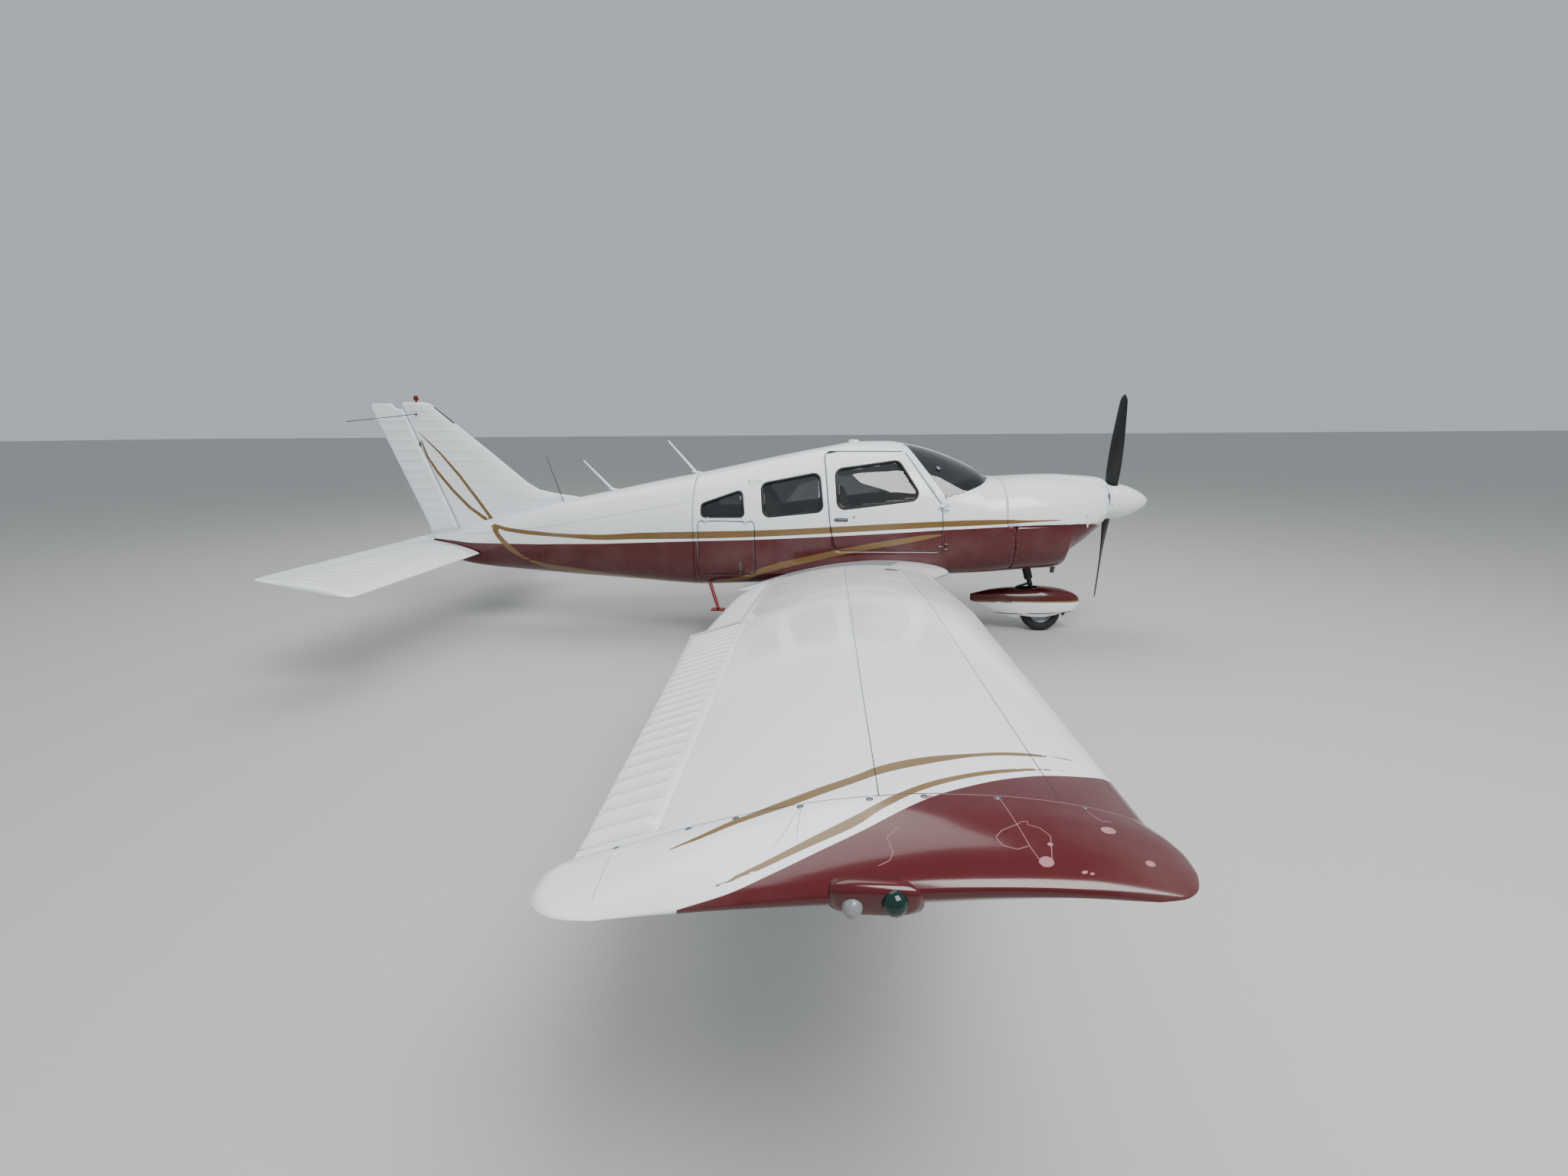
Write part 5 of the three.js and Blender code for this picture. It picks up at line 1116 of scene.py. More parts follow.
# Tail: fin and rudder of beaded sheet with fibreglass caps, an all-moving tailplane on a tube through the
# tail cone, and a tab along its trailing edge. Gold lines run up the fin beside the rudder.
FIN_LE = np.array([(1262, -3200), (1290, -3420), (1330, -3600), (1405, -3720), (1701, -4063),
                   (2122, -4570)], float)
FIN_HINGE = np.array([(949, -4454), (2140, -4900)], float)
FIN_SHAPE = np.array([(0, 0), (0.02, 0.28), (0.08, 0.55), (0.2, 0.85), (0.35, 1), (0.6, 0.9), (0.85, 0.62),
                      (1, 0.5)])
FIN_FOOT, FIN_BODY, FIN_HALF, FIN_TAPER, FIN_SHUT = 930, 2122, 52, 0.022, 34
RUDDER_LOW, RUDDER_TOP = 950, 2090
FIN_BEADS, RUDDER_BEADS, STAB_BEADS = (1120, 2110), (1000, 2060), (160, 1900)
FIN_MIDDLE = (-4400, 0, 1500)
RUDDER_END = -5177
# caps: height, leading edge or its distance aft of the hinge, trailing edge aft of the hinge (fin), half
# width
FIN_CAP = [(2116, -4560, 34, 26), (2122, -4572, 34, 26), (2134, -4592, 36, 23), (2145, -4625, 40, 17),
           (2151, -4655, 44, 11), (2154, -4690, 50, 0.5)]
RUDDER_CAP = [(2090, 14, 14), (2104, 57, 14), (2120, 57, 12), (2132, 60, 9), (2139, 66, 6), (2142, 74, 0.5)]
STAB_PIVOT, STAB_LE, STAB_TE, STAB_HALF, STAB_TILT = (-4380,
                                                      765), -4190, -4900, 1960, np.tan(np.radians(10))
STAB_SHAPE = np.array([(0, 0), (0.02, 0.3), (0.08, 0.58), (0.2, 0.88), (0.34, 1), (0.6, 0.8), (0.85, 0.4),
                       (1, 0.12)])
TAB_Y, TAB_X, TAB_GAP = 1350, -4790, 7
TORQUE_R = 22
FIN_LINES = [[(-4723, 1872), (-4530, 1673), (-4363, 1466), (-4222, 1257), (-4068, 1025)],
             [(-4712, 1796), (-4669, 1648), (-4579, 1493), (-4448, 1323), (-4301, 1164), (-4097, 1012)]]


def hinge_x(z):
    """Station of the rudder's hinge line at a height."""
    return np.interp(z, FIN_HINGE[:, 0], FIN_HINGE[:, 1])


def fin_half(z):
    """Half thickness of the fin at a height."""
    return FIN_HALF - (z - FIN_FOOT) * FIN_TAPER


def rooted(shape):
    """Section table against the square root of the chord share, so that its nose comes out round."""
    return np.stack([np.sqrt(shape[:, 0]), shape[:, 1]], -1)


def fin_point(z, t):
    """Starboard face of the fin at a height and a share of its chord from the leading edge to the shut
    line."""
    le = np.interp(np.maximum(z, 1262), FIN_LE[:, 0], FIN_LE[:, 1])
    te = hinge_x(z) + FIN_SHUT
    x = le - (le - te) * t
    return np.stack([x, along(rooted(FIN_SHAPE), 1, np.sqrt(t)) * fin_half(z), z + 0 * t], -1)


def fin_scheme(points):
    """White with two tapering gold lines on each face."""
    x, z = points[:, 0] - WING_LE, points[:, 2]
    best = -np.ones(len(points))
    for line in FIN_LINES:
        line = np.array(line) * MM
        a, b = line[:-1], line[1:]
        to = np.stack([x, z], -1)[:, None] - a
        share = np.clip((to * (b - a)).sum(-1) / ((b - a) ** 2).sum(-1), 0, 1)
        near = np.sqrt(((to - (b - a) * share[..., None]) ** 2).sum(-1)).min(1)
        width = np.interp(z, [1.02, 1.5, 1.85], [0.018, 0.015, 0.006])
        best = np.maximum(best, width - near)
    return -np.ones(len(points)), best


def ridges(at, span, share, low, high):
    """Beads across a stretch of a tail surface, from share `low` to share `high` of its chord."""
    return beads(at, *span, 0.5) * np.clip(np.minimum(share - low, high - share) / 0.03, 0, 1)


def across(row):
    """Row of points and its mirror image: the two edges of a strip from face to face."""
    return np.stack([row, row * [1, -1, 1]])


def rudder_back(z):
    """Station of the rudder's trailing edge at a height."""
    return -4712 - (z - 904) * 0.3886


z = np.unique(np.concatenate([spans(FIN_FOOT, FIN_BEADS[0], step=15), bead_stations(*FIN_BEADS, 15),
                              [FIN_BODY]]))
t = np.linspace(0, 1, 76)[:, None] ** 1.5
fin = fin_point(np.broadcast_to(z, (76, len(z))), np.broadcast_to(t, (76, len(z))))
fin[..., 1] += ridges(z, FIN_BEADS, t, 0.12, 0.98)
cap = []
for height, le, back, half in FIN_CAP:
    te = hinge_x(min(height, 2140)) + back
    shape = along(rooted(FIN_SHAPE), 1, np.sqrt(t[:, 0]))
    cap.append(np.stack([le - (le - te) * t[:, 0], shape * half, np.full(76, float(height))], -1))
cap = np.array(cap)
shut = [across(fin[-1]), across(cap[:, -1])]
patches = [grid(from_wing(rows) * [1, s, 1]) for rows in (fin, cap) for s in (1, -1)]
patches += [grid(from_wing(rows)) for rows in shut]
coated("fin_skin", patches, "airframe", fin_scheme, ["fin"], from_wing(FIN_MIDDLE))

z = np.unique(np.concatenate([bead_stations(*RUDDER_BEADS), [RUDDER_LOW, RUDDER_TOP]]))
half = fin_half(z) * 0.5
te = rudder_back(z)
share = np.linspace(0, 1, 24)[:, None]
x0 = hinge_x(z)
x = (x0 - 8) + share * (te - x0 + 8)
y = half + share * (3 - half) + ridges(z, RUDDER_BEADS, share, 0.04, 0.95)
sides = np.stack([x, y, np.broadcast_to(z, x.shape)], -1)
bend = np.linspace(0, np.pi / 2, 7)[:, None]
nose = np.stack([x0 - 8 + 22 * np.cos(bend), half * np.sin(bend), np.broadcast_to(z, (7, len(z)))], -1)
face = np.concatenate([nose, sides[1:]])
face[..., 2] += np.where(np.broadcast_to(z, face.shape[:2]) < 960, (face[..., 0] - x0 - 14) * 0.15, 0)
edge = [across(face[-1]), across(face[:, 0]), across(face[:, -1])]
patches = [grid(from_wing(face) * [1, s, 1]) for s in (1, -1)] + [grid(from_wing(rows)) for rows in edge]
rows = []
for height, back, half_cap in RUDDER_CAP:
    nose_x, te = hinge_x(min(height, 2140)) - back, max(rudder_back(height), RUDDER_END)
    s = np.linspace(0, 1, 24)
    bow = np.sqrt(np.clip(s / 0.1, 0, 1)) * np.interp(s, [0, 0.15, 1], [1, 1, 0.15])
    rows.append(np.stack([nose_x - (nose_x - te) * s, half_cap * bow, np.full(24, float(height))], -1))
rows = np.array(rows)
patches += [grid(from_wing(rows) * [1, s, 1]) for s in (1, -1)]
patches += [grid(from_wing(across(rows[:, -1]))), grid(from_wing(across(rows[0])))]
coated("rudder_skin", patches, "rudder_unit", bare, ["rudder"], from_wing((-4900, 0, 1500)))


def stab_point(y, t, side):
    """Tailplane at span y and share t of the chord, its chord line tilted about the pivot."""
    cut = np.interp(np.abs(y), [STAB_HALF - 60, STAB_HALF - 40, STAB_HALF - 18, STAB_HALF], [0, 4, 16, 60])
    le, te = STAB_LE - cut, STAB_TE + cut * 0.5
    half = 34 - cut * 0.3
    x = le - (le - te) * t
    thick = side * along(rooted(STAB_SHAPE), 1, np.sqrt(t)) * half
    z = STAB_PIVOT[1] + (STAB_PIVOT[0] - x) * STAB_TILT + thick
    return np.stack([x, y + 0 * t, z], -1)


def notch(points):
    """Distance to the tail cone's notch and to the tab's bay in plan view, positive outside both."""
    x, y = (points[..., 0] - WING_LE) / MM, np.abs(points[..., 1]) / MM
    cone = y - np.interp(x, [-4725, -4600, -4380, -4200, -4150], [34, 66, 122, 150, 150])
    cone = np.where(x < -4725, np.maximum(cone, -4725 - x), cone)
    tab = np.maximum(x - TAB_X, y - TAB_Y - TAB_GAP)
    return np.minimum(cone, tab) * MM


def stab_surface(y, t, up):
    """Tailplane skin with its beads, at span y in metres and the root of the chord's share."""
    points = stab_point(y * 1000, t ** 2, up)
    points[..., 2] += up * ridges(np.abs(y) * 1000, STAB_BEADS, t ** 2, 0.38, 0.76)
    return from_wing(points)


def stab_strip(y, t):
    """Strip from the upper to the lower skin of the tailplane along a line on it."""
    return grid(np.stack([stab_surface(y, t, up) for up in (1, -1)]))


half_span = np.concatenate([spans(20, 160, step=10)[:-1], bead_stations(*STAB_BEADS),
                            STAB_HALF - np.array([60, 45, 30, 18, 10, 4, 0])])
span = np.unique(np.concatenate([-half_span, half_span])) * MM
t = np.linspace(0, 1, 36)
patches = [trimmed(lambda a, b, up=up: stab_surface(a, b, up), notch, span, t) for up in (1, -1)]
for y in (STAB_HALF, -STAB_HALF):
    patches.append(stab_strip(np.full(36, y * MM), t))
te = spans(TAB_Y + TAB_GAP, STAB_HALF, step=60) * MM
for s in (1, -1):
    patches.append(stab_strip(te * s, np.ones(len(te))))
bay_t = np.sqrt((STAB_LE - TAB_X) / (STAB_LE - STAB_TE))
bay = spans(40, TAB_Y + TAB_GAP, step=60) * MM
inner = np.array([(-4200, 150), (-4290, 136), (-4380, 122), (-4490, 94), (-4600, 66), (-4725, 34),
                  (-4790, 34)])
t_in = np.sqrt((STAB_LE - inner[:, 0]) / (STAB_LE - STAB_TE))
for s in (1, -1):
    patches.append(stab_strip(bay * s, np.full(len(bay), bay_t)))
    patches.append(stab_strip(inner[:, 1] * MM * s, t_in))
build("torque_tube", [rod(from_wing([(STAB_PIVOT[0], y, STAB_PIVOT[1]) for y in (-175, 0, 175)]),
                          TORQUE_R * MM, 28)],
      "stabilator_unit", enamel_paint, "white_paint")
coated("tailplane_skin", patches, "stabilator_unit", bare, ["stabilator"], from_wing((-4500, 0, 790)))
y = bead_stations(-TAB_Y + 20, TAB_Y - 20)
y = np.unique(np.concatenate([[-TAB_Y, TAB_Y], y]))
t = np.linspace((STAB_LE - TAB_X + 8) / (STAB_LE - STAB_TE), 1, 8)[:, None]
faces = [stab_point(np.broadcast_to(y, (8, len(y))), np.broadcast_to(t, (8, len(y))), up) for up in (1, -1)]
loop = np.concatenate([faces[0][::-1], faces[1]]).transpose(1, 0, 2)
coated("tab_skin", [grid(from_wing(drawn_shut(loop)), True)], "tab_unit", bare, ["anti_servo_tab"])


# Landing gear: oleo legs and a steerable nose fork of painted steel, aluminium wheels with 6.00-6 and 5.00-5
# cross-ply tyres, and moulded fibreglass fairings over all three, dark red with gold lines.
PANT = np.array([(0, 0.04), (0.03, 0.34), (0.1, 0.64), (0.22, 0.89), (0.38, 1), (0.6, 0.91), (0.8, 0.62),
                 (1, 0.1)])
NOSE_GEAR = {"x": 1186, "y": 0, "r": 180, "w": 128, "length": 1012, "ahead": 356, "half": 128, "top": 425,
             "bottom": 100, "slot": 92}
MAIN_GEAR = {"x": -795, "y": 1525, "r": 222, "w": 160, "length": 1120, "ahead": 400, "half": 155,
             "top": 500,
             "bottom": 118, "slot": 108}
RAKE = np.tan(np.radians(17))
PANT_WALL = 0.004
# tyre profile: share of half width, share of radius
TYRE = [(-0.62, 0.56), (-0.78, 0.6), (-0.93, 0.68), (-0.98, 0.76), (-0.95, 0.85), (-0.84, 0.92),
        (-0.66, 0.965), (-0.5, 0.985), (-0.5, 0.962), (-0.42, 0.962), (-0.42, 0.992), (-0.2, 0.999),
        (-0.2, 0.972), (-0.12, 0.972), (-0.12, 1.0)]
WHEEL = [(-0.8, 0.08), (-0.8, 0.28), (-0.72, 0.32), (-0.4, 0.38), (-0.36, 0.44), (-0.5, 0.5), (-0.6, 0.53),
         (-0.64, 0.575), (-0.6, 0.575), (-0.5, 0.54), (0, 0.5)]
# cross-ply tyre rubber, dusty
tyre_rubber = grained(surface_of("cross_ply_rubber", Base_Color="#19191b", Roughness=0.85),
                      0.003, 0.0004, 0.06, "#2b2a28")
# cast aluminium, bare, a little oxidised
cast_wheel = grained(surface_of("sand_cast_aluminium", Base_Color="#a9abad", Roughness=0.45, Metallic=1.0),
                     0.002, 0.0002)
# steel tube and forgings under dark stove enamel
stoved_steel = grained(
    surface_of("stove_enamelled_steel", Base_Color="#2c2d30", Roughness=0.4, Metallic=0.6), 0.01, 0.0001)


def pant_point(gear, t, turn, side):
    """Wheel fairing at share t of its length: a superellipse of exponent 2.3 whose width and height
    follow the table, its middle lifted aft of 0.6."""
    k = along(PANT, 1, t)
    mid = (gear["top"] + gear["bottom"]) / 2 + 20
    c, s = np.cos(turn), np.sin(turn)
    p = 2 / 2.3
    tall = np.where(s >= 0, gear["top"] - mid, mid - gear["bottom"]) * (k * 0.9 + 0.1)
    return from_wing(np.stack([
        gear["x"] + gear["ahead"] - gear["length"] * t,
        gear["y"] + gear["half"] * k * np.sign(c) * np.abs(c) ** p,
        mid + np.maximum(t - 0.6, 0) * 90 + tall * np.sign(s) * np.abs(s) ** p], -1)) * [1, side, 1]


def pant_scheme(gear):
    """Dark red top, gold, white, gold and white bands in turn down the fairing's side."""
    def scheme(points):
        x, z = (points[:, 0] - WING_LE) / MM, points[:, 2] / MM
        t = np.clip((gear["x"] + gear["ahead"] - x) / gear["length"], 0, 1)
        tall = (gear["top"] - gear["bottom"]) / 325
        line = gear["bottom"] + (200 - 60 * (t - 0.35) ** 2) * tall
        lower = gear["bottom"] + (95 - 30 * t) * tall
        gold = np.maximum(9 - np.abs(z - line), 7 - np.abs(z - lower))
        return (z - line) * MM, gold * MM
    return scheme


def pant(gear, side, name, body, stands_for):
    """Fairing shell, open below round the tyre, and at the top round the leg."""
    at = from_wing((gear["x"], gear["y"] * side, 0))

    def keep(points):
        away = np.maximum(np.abs(points[..., 0] - at[0]) - (gear["r"] + 30) * MM,
                          np.abs(points[..., 1] - at[1]) - gear["slot"] * MM)
        away = np.maximum(away, points[..., 2] - (gear["bottom"] + 90) * MM)
        if gear is NOSE_GEAR:
            strut = from_wing((1020 + (630 - 420) * RAKE, 0, 420))
            slot = np.maximum(np.abs(points[..., 0] - strut[0] + 0.049) - 0.101,
                              np.abs(points[..., 1]) - 0.052)
            away = np.minimum(away, np.maximum(slot, 0.3 - points[..., 2]))
        else:
            leg = from_wing((-765, 1525 - 118, 0))
            hole = np.hypot(points[..., 0] - leg[0], np.abs(points[..., 1]) - leg[1]) - 0.036
            away = np.minimum(away, np.maximum(hole, 0.3 - points[..., 2]))
        return away
    t = np.concatenate([np.linspace(0, 0.05, 8)[:-1], np.linspace(0.05, 1, 48)])
    turn = np.linspace(-np.pi / 2, 3 * np.pi / 2, 61)[:-1]
    shell = trimmed(lambda a, b: pant_point(gear, a, b, side), keep, t, turn, True)
    caps = []
    for end in (0.0, 1.0):
        row = pant_point(gear, np.full(60, end), turn, side)
        caps.append(grid(np.stack([row, np.repeat(row.mean(0)[None], 60, 0)]), True))
    middle = from_wing((gear["x"], gear["y"] * side, (gear["top"] + gear["bottom"]) / 2))
    made = build(name, [shell] + caps, body, enamel_paint, "maroon_paint", stands_for, middle, PANT_WALL)
    return painted(made, pant_scheme(gear))


for word, gear, side, body, tyre, wheel_node in (
        ("nose", NOSE_GEAR, 1, "nose_wheel_unit", "nose_tyre", "nose_wheel"),
        ("main_left", MAIN_GEAR, 1, "main_wheel_unit_left", "main_tyre_left", "main_wheel_left"),
        ("main_right", MAIN_GEAR, -1, "main_wheel_unit_right", "main_tyre_right", "main_wheel_right")):
    centre = from_wing((gear["x"], gear["y"] * side, gear["r"]))
    scale = np.array([gear["w"] / 2, gear["r"]]) * MM
    tyre_rows = np.array(TYRE + [(-a, b) for a, b in TYRE[::-1]]) * scale
    build(tyre + "_cover", [lathe(centre, (0, 1, 0), tyre_rows, 64)], body, tyre_rubber, "tyre_rubber",
          [tyre])
    wheel_rows = np.array(WHEEL + [(-a, b) for a, b in WHEEL[::-1]]) * scale
    build(wheel_node + "_casting", [lathe(centre, (0, 1, 0), wheel_rows, 48)], body, cast_wheel,
          "wheel_metal",
          [wheel_node])
pant(NOSE_GEAR, 1, "nose_pant", "nose_leg", ["nose_fairing"])
pant(MAIN_GEAR, 1, "main_pant_left", "airframe", ["main_fairing_left"])
pant(MAIN_GEAR, -1, "main_pant_right", "airframe", ["main_fairing_right"])


# Propeller and spinner: two-bladed fixed-pitch forging, matt black on its faces, with a spun aluminium
# spinner painted white and screwed to its back plate.
BLADE = np.array([(60, 42, 60, 36), (170, 55, 48, 26), (300, 68, 36, 16), (500, 75, 25, 10),
                  (750, 62, 18, 6.5), (900, 46, 15, 4.5), (938, 26, 14, 3)], float)
PROP_X, LEAN, HUB_R = 1722, np.radians(7.2), 62
SPINNER_BASE, SPINNER_TIP, SPINNER_R = 1668, 2064, 166
SPINNER = np.array([(0, 1), (0.25, 0.95), (0.5, 0.81), (0.72, 0.58), (0.9, 0.3), (1, 0.0)])
# forged aluminium alloy, faces painted matt black
forged_blade = grained(surface_of("painted_alloy_forging", Base_Color="#121214", Roughness=0.38),
                       0.004, 0.00008, 0.06)


def leaned(points):
    """Points about the shaft's foot, turned about the shaft by the propeller's parked angle."""
    c, s = np.cos(LEAN), np.sin(LEAN)
    points = np.asarray(points, float)
    return from_wing(np.stack([points[..., 0], points[..., 1] * c - points[..., 2] * s,
                               points[..., 1] * s + points[..., 2] * c + 1225], -1))


def blade(side):
    """Blade: ellipses of the table's half chord and half thickness, each turned to its pitch, drawn in to
    the tip."""
    r = np.concatenate([np.linspace(60, 900, 40), 900 + 38 * np.sin(np.linspace(0, np.pi / 2, 9)[1:])])
    half, pitch, thick = (along(BLADE, k, r)[:, None] for k in (1, 2, 3))
    end = np.sqrt(np.clip(1 - (np.maximum(r - 880, 0) / 58) ** 2, 0, 1))[:, None]
    half = half * np.where(r[:, None] > 880, np.maximum(end, 0.02), 1)
    pitch = np.radians(pitch)
    a = round_turn(28)
    u, v = np.cos(a) * half, np.sin(a) * thick
    rows = np.stack([PROP_X + u * np.sin(pitch) + v * np.cos(pitch),
                     side * (v * np.sin(pitch) - u * np.cos(pitch)),
                     np.broadcast_to(side * r[:, None], u.shape)], -1)
    tip = np.broadcast_to(rows[-1].mean(0), rows[-1].shape)[None]
    return grid(leaned(np.concatenate([rows, tip])), True)


hub = [(SPINNER_BASE - 6, 0), (SPINNER_BASE - 6, HUB_R), (PROP_X + 50, HUB_R), (PROP_X + 58, HUB_R - 8),
       (PROP_X + 58, 0)]
turn = round_turn(48)
hub_rows = np.array([[(x, r * np.cos(a), r * np.sin(a)) for a in turn] for x, r in hub])
build("blades", [blade(1), blade(-1), grid(leaned(hub_rows), True)], "propeller_unit", forged_blade,
      "propeller_metal", ["propeller"])


def spinner_surface(t, turn):
    """Shell of the spinner: radius from the table along its length."""
    r = along(SPINNER, 1, t) * SPINNER_R
    return leaned(np.stack([SPINNER_BASE + (SPINNER_TIP - SPINNER_BASE) * t, r * np.cos(turn),
                            r * np.sin(turn)], -1))


def blade_holes(points):
    """Distance to the round holes that the blade roots pass through."""
    axis = leaned([(PROP_X, 0, 0), (PROP_X, 0, 1000)])
    along_axis = axis[1] - axis[0]
    to = points - axis[0]
    return np.linalg.norm(to - (to @ along_axis)[..., None] * along_axis, axis=-1) - 0.061


t = np.concatenate([np.linspace(0, 0.9, 46), 1 - 0.1 * np.cos(np.linspace(0, np.pi / 2, 12))[1:]])
shell = trimmed(spinner_surface, blade_holes, t, np.linspace(0, 2 * np.pi, 81)[:-1], True)
turn = round_turn(80)
back = leaned(np.stack([np.stack([np.full(80, SPINNER_BASE + 0.5), r * np.cos(turn), r * np.sin(turn)], -1)
                        for r in (HUB_R + 1, SPINNER_R - 0.5)]))
made = build("spinner_shell", [shell], "propeller_unit", enamel_paint, "white_plastic", ["spinner"],
             from_wing((SPINNER_BASE + 120, 0, 1225)), 0.002)
painted(made, bare)
build("spinner_plate", [grid(back, True)], "propeller_unit", cast_wheel, "wheel_metal", (),
      from_wing((SPINNER_BASE + 100, 0, 1225)), 0.002)


# Sheet joints and fastenings: butted edges as dark strips of painted shade, dimpled rivets under the paint
# along frames, ribs and stringers, and steel screws with cup washers where a panel or a fairing comes off.
# profiles across and out of a joint and of a strip; radius and height of rivets, screws and washers
SEAM = [(-0.0013, -0.0004), (-0.0009, 0.0003), (0.0009, 0.0003), (0.0013, -0.0004)]
STRIP = [(-0.012, -0.001), (-0.012, 0.001), (-0.010, 0.0016), (0.010, 0.0016), (0.012, 0.001),
         (0.012, -0.001)]
RIVET, SCREW, WASHER = (0.0027, 0.0009), (0.0042, 0.0016), (0.009, 0.0008)
RIVET_PITCH, SCREW_PITCH = 34, 40
RIB_Y = (1100, 1430, 1760, 2090, 2420, 2700, 3010, 3320, 3630, 3940, 4250, 4560, 4870)
FRAME_X = (-4180, -3840, -3480, -3120, -2760, -2400, -2050, -2010, -1480, -882, 250, 640)
RIVET_CLEAR = 0.014
TIP_SCREWS = (-1250, -1091, -990, -855, -713, -603, -455, -282)
# painted shade: dark grey in the skin joints, the tip paint's cracks and the door handle's recess
groove_shade = grained(surface_of("painted_groove_shade", Base_Color="#2b2b2e", Roughness=0.7),
                        0.003, 0.0001)
# cadmium-plated steel screws and their washers
plated_screw = grained(
    surface_of("cadmium_plated_steel", Base_Color="#77797c", Roughness=0.38, Metallic=1.0), 0.002, 0.00005)


def evenly(corners, pitch):
    """Points at even steps along a polyline."""
    corners = np.asarray(corners, float)
    length = run(corners)
    at = np.linspace(0, length[-1], max(int(length[-1] / pitch), 1) + 1)
    return np.stack([np.interp(at, length, column) for column in corners.T], -1)


def side_path(corners, side, pitch=20):
    """Side-view polyline laid on one side of the fuselage: points and normals."""
    return on_side(evenly(corners, pitch) * MM + [WING_LE, 0], side)


def hoop(station, low, high, pitch=20):
    """Points round the fuselage at a station, between two directions in half turns, and the normals
    there."""
    turn = np.linspace(low, high, int((high - low) * 1600 / pitch)) * np.pi
    x = np.full(len(turn), WING_LE + station * MM)
    here, d = hull(x, turn), 1e-4
    normal = np.cross(hull(x, turn + d) - here, hull(x + d, turn) - here)
    return here, unit(normal)


def on_wing(corners, up, side, pitch=20):
    """Plan-view polyline (x, y) laid on the wing's upper (1) or lower (-1) skin: points and normals."""
    flat = evenly(corners, pitch)
    y = flat[:, 1]
    le, te = wing(y, 0, up)[:, 0], wing(y, 1, up)[:, 0]
    t = np.clip((le - flat[:, 0]) / (le - te), 0.001, 0.999)
    here, d = wing(y, t, up), 1e-3
    normal = np.cross(wing(y + 1, t, up) - here, wing(y, t + d, up) - here) * up
    return handed(here, side), unit(normal) * [1, side, 1]


def fin_path(corners, side, pitch=20):
    """Side-view polyline (x, z) laid on one face of the fin: points and normals."""
    flat = evenly(corners, pitch)
    x, z = flat[:, 0], flat[:, 1]
    le = np.interp(np.maximum(z, 1262), FIN_LE[:, 0], FIN_LE[:, 1])
    te = hinge_x(z) + FIN_SHUT
    points = fin_point(z, np.clip((le - x) / (le - te), 0.001, 1))
    return from_wing(points) * [1, side, 1], np.tile([0.0, side, 0.0], (len(points), 1))


def joined(paths):
    """Points and normals of several paths as one."""
    return [np.concatenate(part) for part in zip(*paths)]


seams, strips, screws, rivets, wing_rivets = [], [], [], [], []
BODY_MIDDLE = (WING_LE - 1.0, 0, 1.0)
for side in (1, -1):
    seams += [side_path([(-3470, 999), (-2033, 1263)], side), side_path([(772, 1062), (1640, 1062)], side),
              side_path([(690, 1062), (772, 1062)], side), side_path([(-4380, 905), (-3480, 1000)], side)]
    base = [(172, 1290), (326, 1330), (475, 1386), (592, 1446)]
    post = [(164, 1301), (-154, 1737)]
    strips += [side_path(base, side), side_path(post, side)]
    screws += [side_path(base, side, SCREW_PITCH), side_path(post, side, SCREW_PITCH),
               side_path([(754, 1030), (754, 650)], side, 62),
               side_path([(790, 1030), (790, 650)], side, 62)]
    rivets += [side_path([(-3470, 990), (-2033, 1254)], side, RIVET_PITCH),
               side_path([(-1990, 560), (560, 650)], side, RIVET_PITCH),
               side_path([(-1990, 1102), (-880, 1118)], side, RIVET_PITCH)]
    for up in (1, -1):
        lines = [[(-696, 1080), (-696, 4471), (-693, TIP_Y)], [(-262, 1100), (-262, 2700), (-326, TIP_Y)]]
        seams += [on_wing(line, up, side) for line in lines]
        seams.append(on_wing([(-150, TIP_Y + 0.6), (-1340, TIP_Y + 0.6)], up, side))
        wing_rivets += [on_wing([(x - 16, y) for x, y in line], up, side, RIVET_PITCH) for line in lines]
        back = [(float(front_line(y)) + 22, y) for y in (700.0, 2668.0, 2727.0, 5083.0)]
        wing_rivets += [on_wing(back, up, side, RIVET_PITCH)]
        for y in RIB_Y:
            le = float(np.interp(y, WING[:, 0], WING[:, 1]))
            rib = [(le - 40, y), (float(front_line(y)) + 24, y)]
            wing_rivets.append(on_wing(rib, up, side, RIVET_PITCH))
screws += [hoop(668, 0.04, 0.96, 90)]
strips += [hoop(-172, 0.36, 0.64)]
seams += [hoop(690, 0.02, 0.98), hoop(772, 1.02, 1.98), hoop(-2030, -0.5, 1.49)]
rivets += [hoop(x, -0.5, 1.5, RIVET_PITCH) for x in FRAME_X]
points, normals = joined(rivets)
clear = cut_out(points) > RIVET_CLEAR
coated("fuselage_rivets", [studs(points[clear], normals[clear], *RIVET, 5)], "airframe", side_scheme, (),
       BODY_MIDDLE)
for side, word in ((1, "left"), (-1, "right")):
    points, normals = joined(wing_rivets)
    mine = points[:, 1] * side > 0
    coated("wing_rivets_" + word, [studs(points[mine], normals[mine], *RIVET, 5)], "airframe", tip_scheme,
           (), from_wing((-700, 2900 * side, 800)))
# dark strips along the sheet joints: painted shade in their grooves
build("sheet_joints", [swept(*path, SEAM) for path in seams], "airframe", groove_shade, "black_plastic")
coated("windscreen_strips", [swept(*path, STRIP) for path in strips], "airframe", bare)
points, normals = joined(screws)
build("panel_screws", [studs(points + normals * 0.001, normals, *SCREW, 8)], "airframe", plated_screw,
      "gear_metal",
      (), BODY_MIDDLE)
for side, word in ((1, "left"), (-1, "right")):
    rows = [on_wing([(x, TIP_Y + 12), (x - 1, TIP_Y + 12)], up, side, 10)
            for x in TIP_SCREWS for up in (1, -1)]
    points, normals = (part[::2] for part in joined(rows))
    heads = [studs(points, normals, *WASHER, 14), studs(points + normals * WASHER[1], normals, *SCREW, 10)]
    build("tip_screws_" + word, heads, "airframe", plated_screw, "gear_metal", (),
          from_wing((-700, 5110 * side, 1050)))


